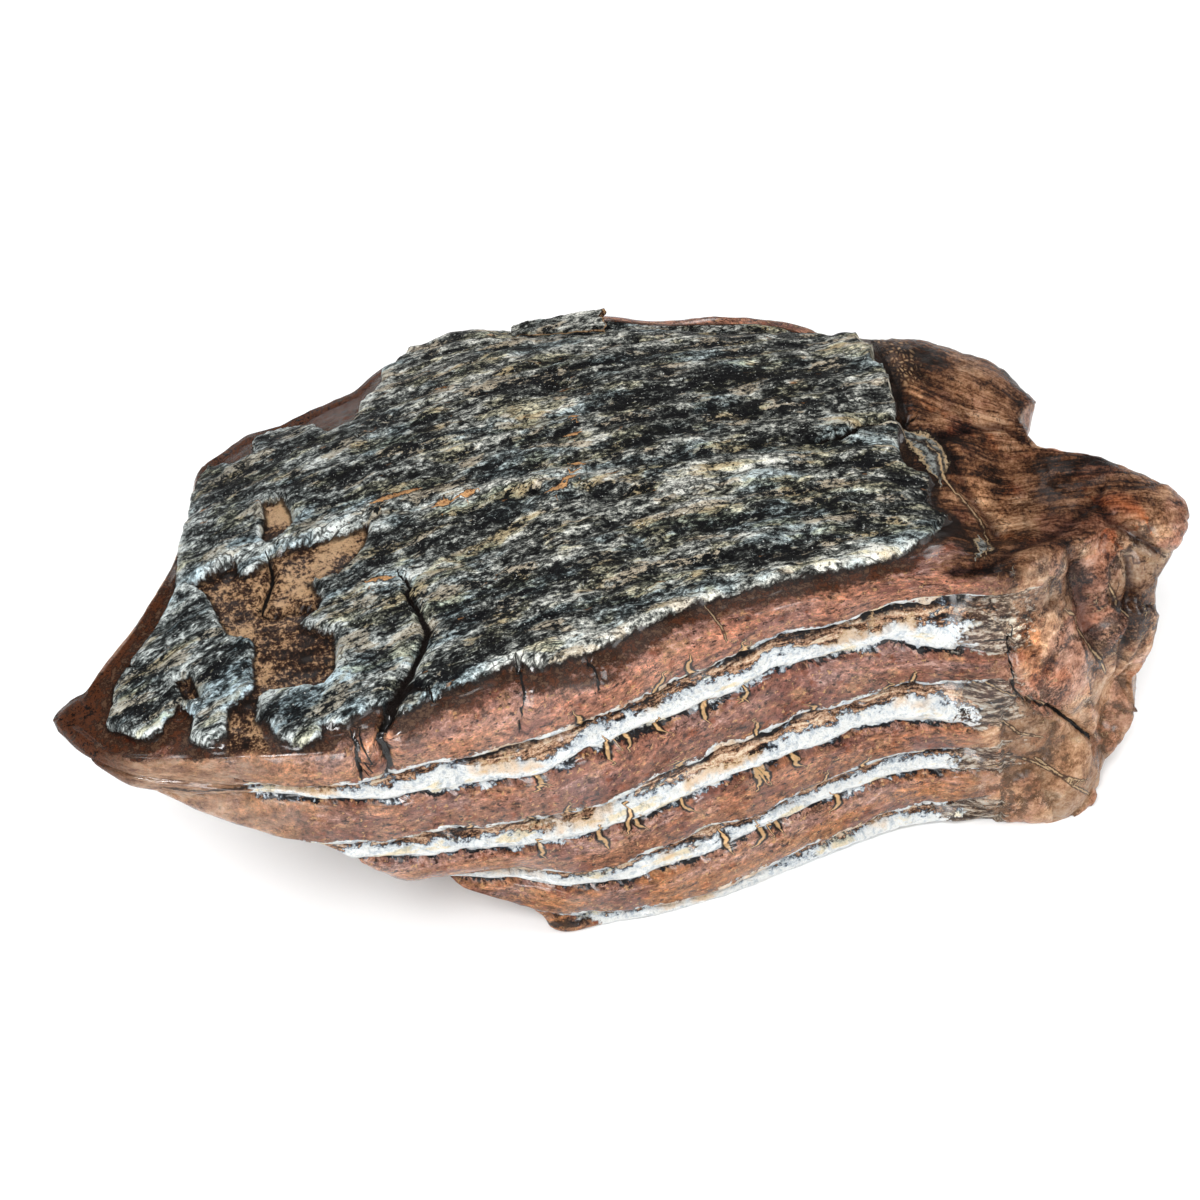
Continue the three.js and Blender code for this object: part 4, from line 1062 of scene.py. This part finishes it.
def lifted_splinter(material):
    """The sliver of enamel that has sprung up on the far edge, thin end bedded and broken end free."""
    bm = bmesh.new()
    bmesh.ops.create_cube(bm, size=1.0)
    for axis, cuts in enumerate((60, 22, 8)):
        edges = [e for e in bm.edges if abs(e.verts[1].co[axis] - e.verts[0].co[axis]) > 0.5]
        bmesh.ops.subdivide_edges(bm, edges=edges, cuts=cuts - 1)
    mesh = bpy.data.meshes.new("lifted_splinter")
    bm.to_mesh(mesh)
    bm.free()
    share = read(mesh, mesh.vertices)
    along = share[:, 0] + 0.5
    points = share * SPLINTER_SIZE
    points[:, 1] *= mix(0.3, 1.0, np.sqrt(along))
    points[:, 2] *= mix(0.7, 1.0, along)
    ragged = lumpy(points, 1.5, 3, seed=21)
    points[:, 0] += step(along, 0.8, 1.0) * (0.9 * ragged + 0.12 * points[:, 1] ** 2)
    points[:, 1] += 0.35 * ragged + 0.5 * lumpy(points * [1, 0, 0], 3.5, 2, seed=23)
    points[:, 2] += 0.22 * lumpy(points, np.array([5, 1.0, 5]), 3, seed=22)
    cos_tip, sin_tip = math.cos(SPLINTER_TIP), math.sin(SPLINTER_TIP)
    points = points @ np.array([[cos_tip, 0, sin_tip], [0, 1, 0], [-sin_tip, 0, cos_tip]])
    cos_turn, sin_turn = math.cos(SPLINTER_TURN), math.sin(SPLINTER_TURN)
    points = points @ np.array([[cos_turn, sin_turn, 0], [-sin_turn, cos_turn, 0], [0, 0, 1]])
    points += SPLINTER_MIDDLE
    flow = np.stack([points[:, 0], points[:, 1] + BOW * points[:, 0] ** 2, points[:, 2]], axis=1)
    n = len(points)
    broken = np.maximum(step(along, 0.95, 0.99), step(-share[:, 2], 0.05, 0.2))
    fields = dict(band=np.full(n, 7.9), pair=np.full(n, 9.0), plate=mix(6.0, -1.5, broken),
                  flaked=mix(-9.0, 2.0, broken), root=np.full(n, -60.0), top=np.ones(n),
                  ridge=np.zeros(n), margin=np.full(n, 0.45), plane=np.zeros(n), crease=np.full(n, NO_LINE))
    for name in [*LINES, "stitch"]:
        fields[name] = np.full(n, NO_LINE)
        fields[name + "_on"] = np.zeros(n)
    mesh.vertices.foreach_set("co", to_frame(points).ravel())
    store(mesh, fields, flow)
    mesh.materials.append(material)
    mesh.shade_smooth()
    mesh.update()
    return show(mesh)


def plain(name, colour, roughness):
    material = bpy.data.materials.new(name)
    material.use_nodes = True
    shader = material.node_tree.nodes["Principled BSDF"]
    shader.inputs["Base Color"].default_value = (*colour, 1)
    shader.inputs["Roughness"].default_value = roughness
    return material


def soft_light(name, place, target, size, power):
    light = bpy.data.lights.new(name, "AREA")
    light.shape = "DISK"
    light.size = size
    light.energy = power
    lamp = bpy.data.objects.new(name, light)
    bpy.context.collection.objects.link(lamp)
    lamp.location = place
    lamp.rotation_euler = (Vector(target) - Vector(place)).to_track_quat("-Z", "Y").to_euler()


# The studio's soft lights, as name, place, size in m and power in W.
LIGHTS = [
    ("key", (-0.30, -0.45, 0.80), 0.32, 6.2), ("fill", (0.75, -0.45, 0.45), 0.5, 2.2),
    ("low", (-0.25, -0.85, 0.20), 0.5, 5.5), ("back", (0.1, 0.7, 0.7), 0.45, 3.2),
]
AIR_LIGHT = 0.5
# The photograph's point of view: degrees up and round, m away and the lens in mm.
CAMERA_UP, CAMERA_ROUND, CAMERA_AWAY, CAMERA_LENS = 46, -20, 0.430, 82
# The point it looks at, in mm.
LOOK_AT = (0, 0, 35)


def studio():
    """A pale floor, soft lights and the photograph's point of view."""
    bm = bmesh.new()
    bmesh.ops.create_grid(bm, x_segments=1, y_segments=1, size=3.0)
    mesh = bpy.data.meshes.new("studio_floor")
    bm.to_mesh(mesh)
    bm.free()
    mesh.materials.append(plain("pale_floor", (0.93, 0.93, 0.93), 0.7))
    show(mesh)

    world = bpy.data.worlds.new("studio_air")
    bpy.context.scene.world = world
    world.use_nodes = True
    world.node_tree.nodes["Background"].inputs["Color"].default_value = (1, 1, 1, 1)
    world.node_tree.nodes["Background"].inputs["Strength"].default_value = AIR_LIGHT
    middle = (0, 0, 0.03)
    for name, light_place, size, power in LIGHTS:
        soft_light(name, light_place, middle, size, power)

    elevation, azimuth = math.radians(CAMERA_UP), math.radians(CAMERA_ROUND)
    target = Vector(to_frame(np.array(LOOK_AT)))
    back = Vector((math.sin(azimuth) * math.cos(elevation),
                   -math.cos(azimuth) * math.cos(elevation), math.sin(elevation)))
    lens = bpy.data.cameras.new("camera")
    lens.lens = CAMERA_LENS
    lens.clip_start = 0.01
    camera = bpy.data.objects.new("camera", lens)
    bpy.context.collection.objects.link(camera)
    camera.location = target + back * CAMERA_AWAY
    camera.rotation_euler = (-back).to_track_quat("-Z", "Y").to_euler()
    bpy.context.scene.camera = camera
    bpy.context.scene.view_settings.view_transform = "Standard"


fossil = fossil_tooth()
tooth = make_tooth(fossil)
splinter = lifted_splinter(fossil)
for piece in (tooth, splinter):
    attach(piece, "root")
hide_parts("tooth")
studio()
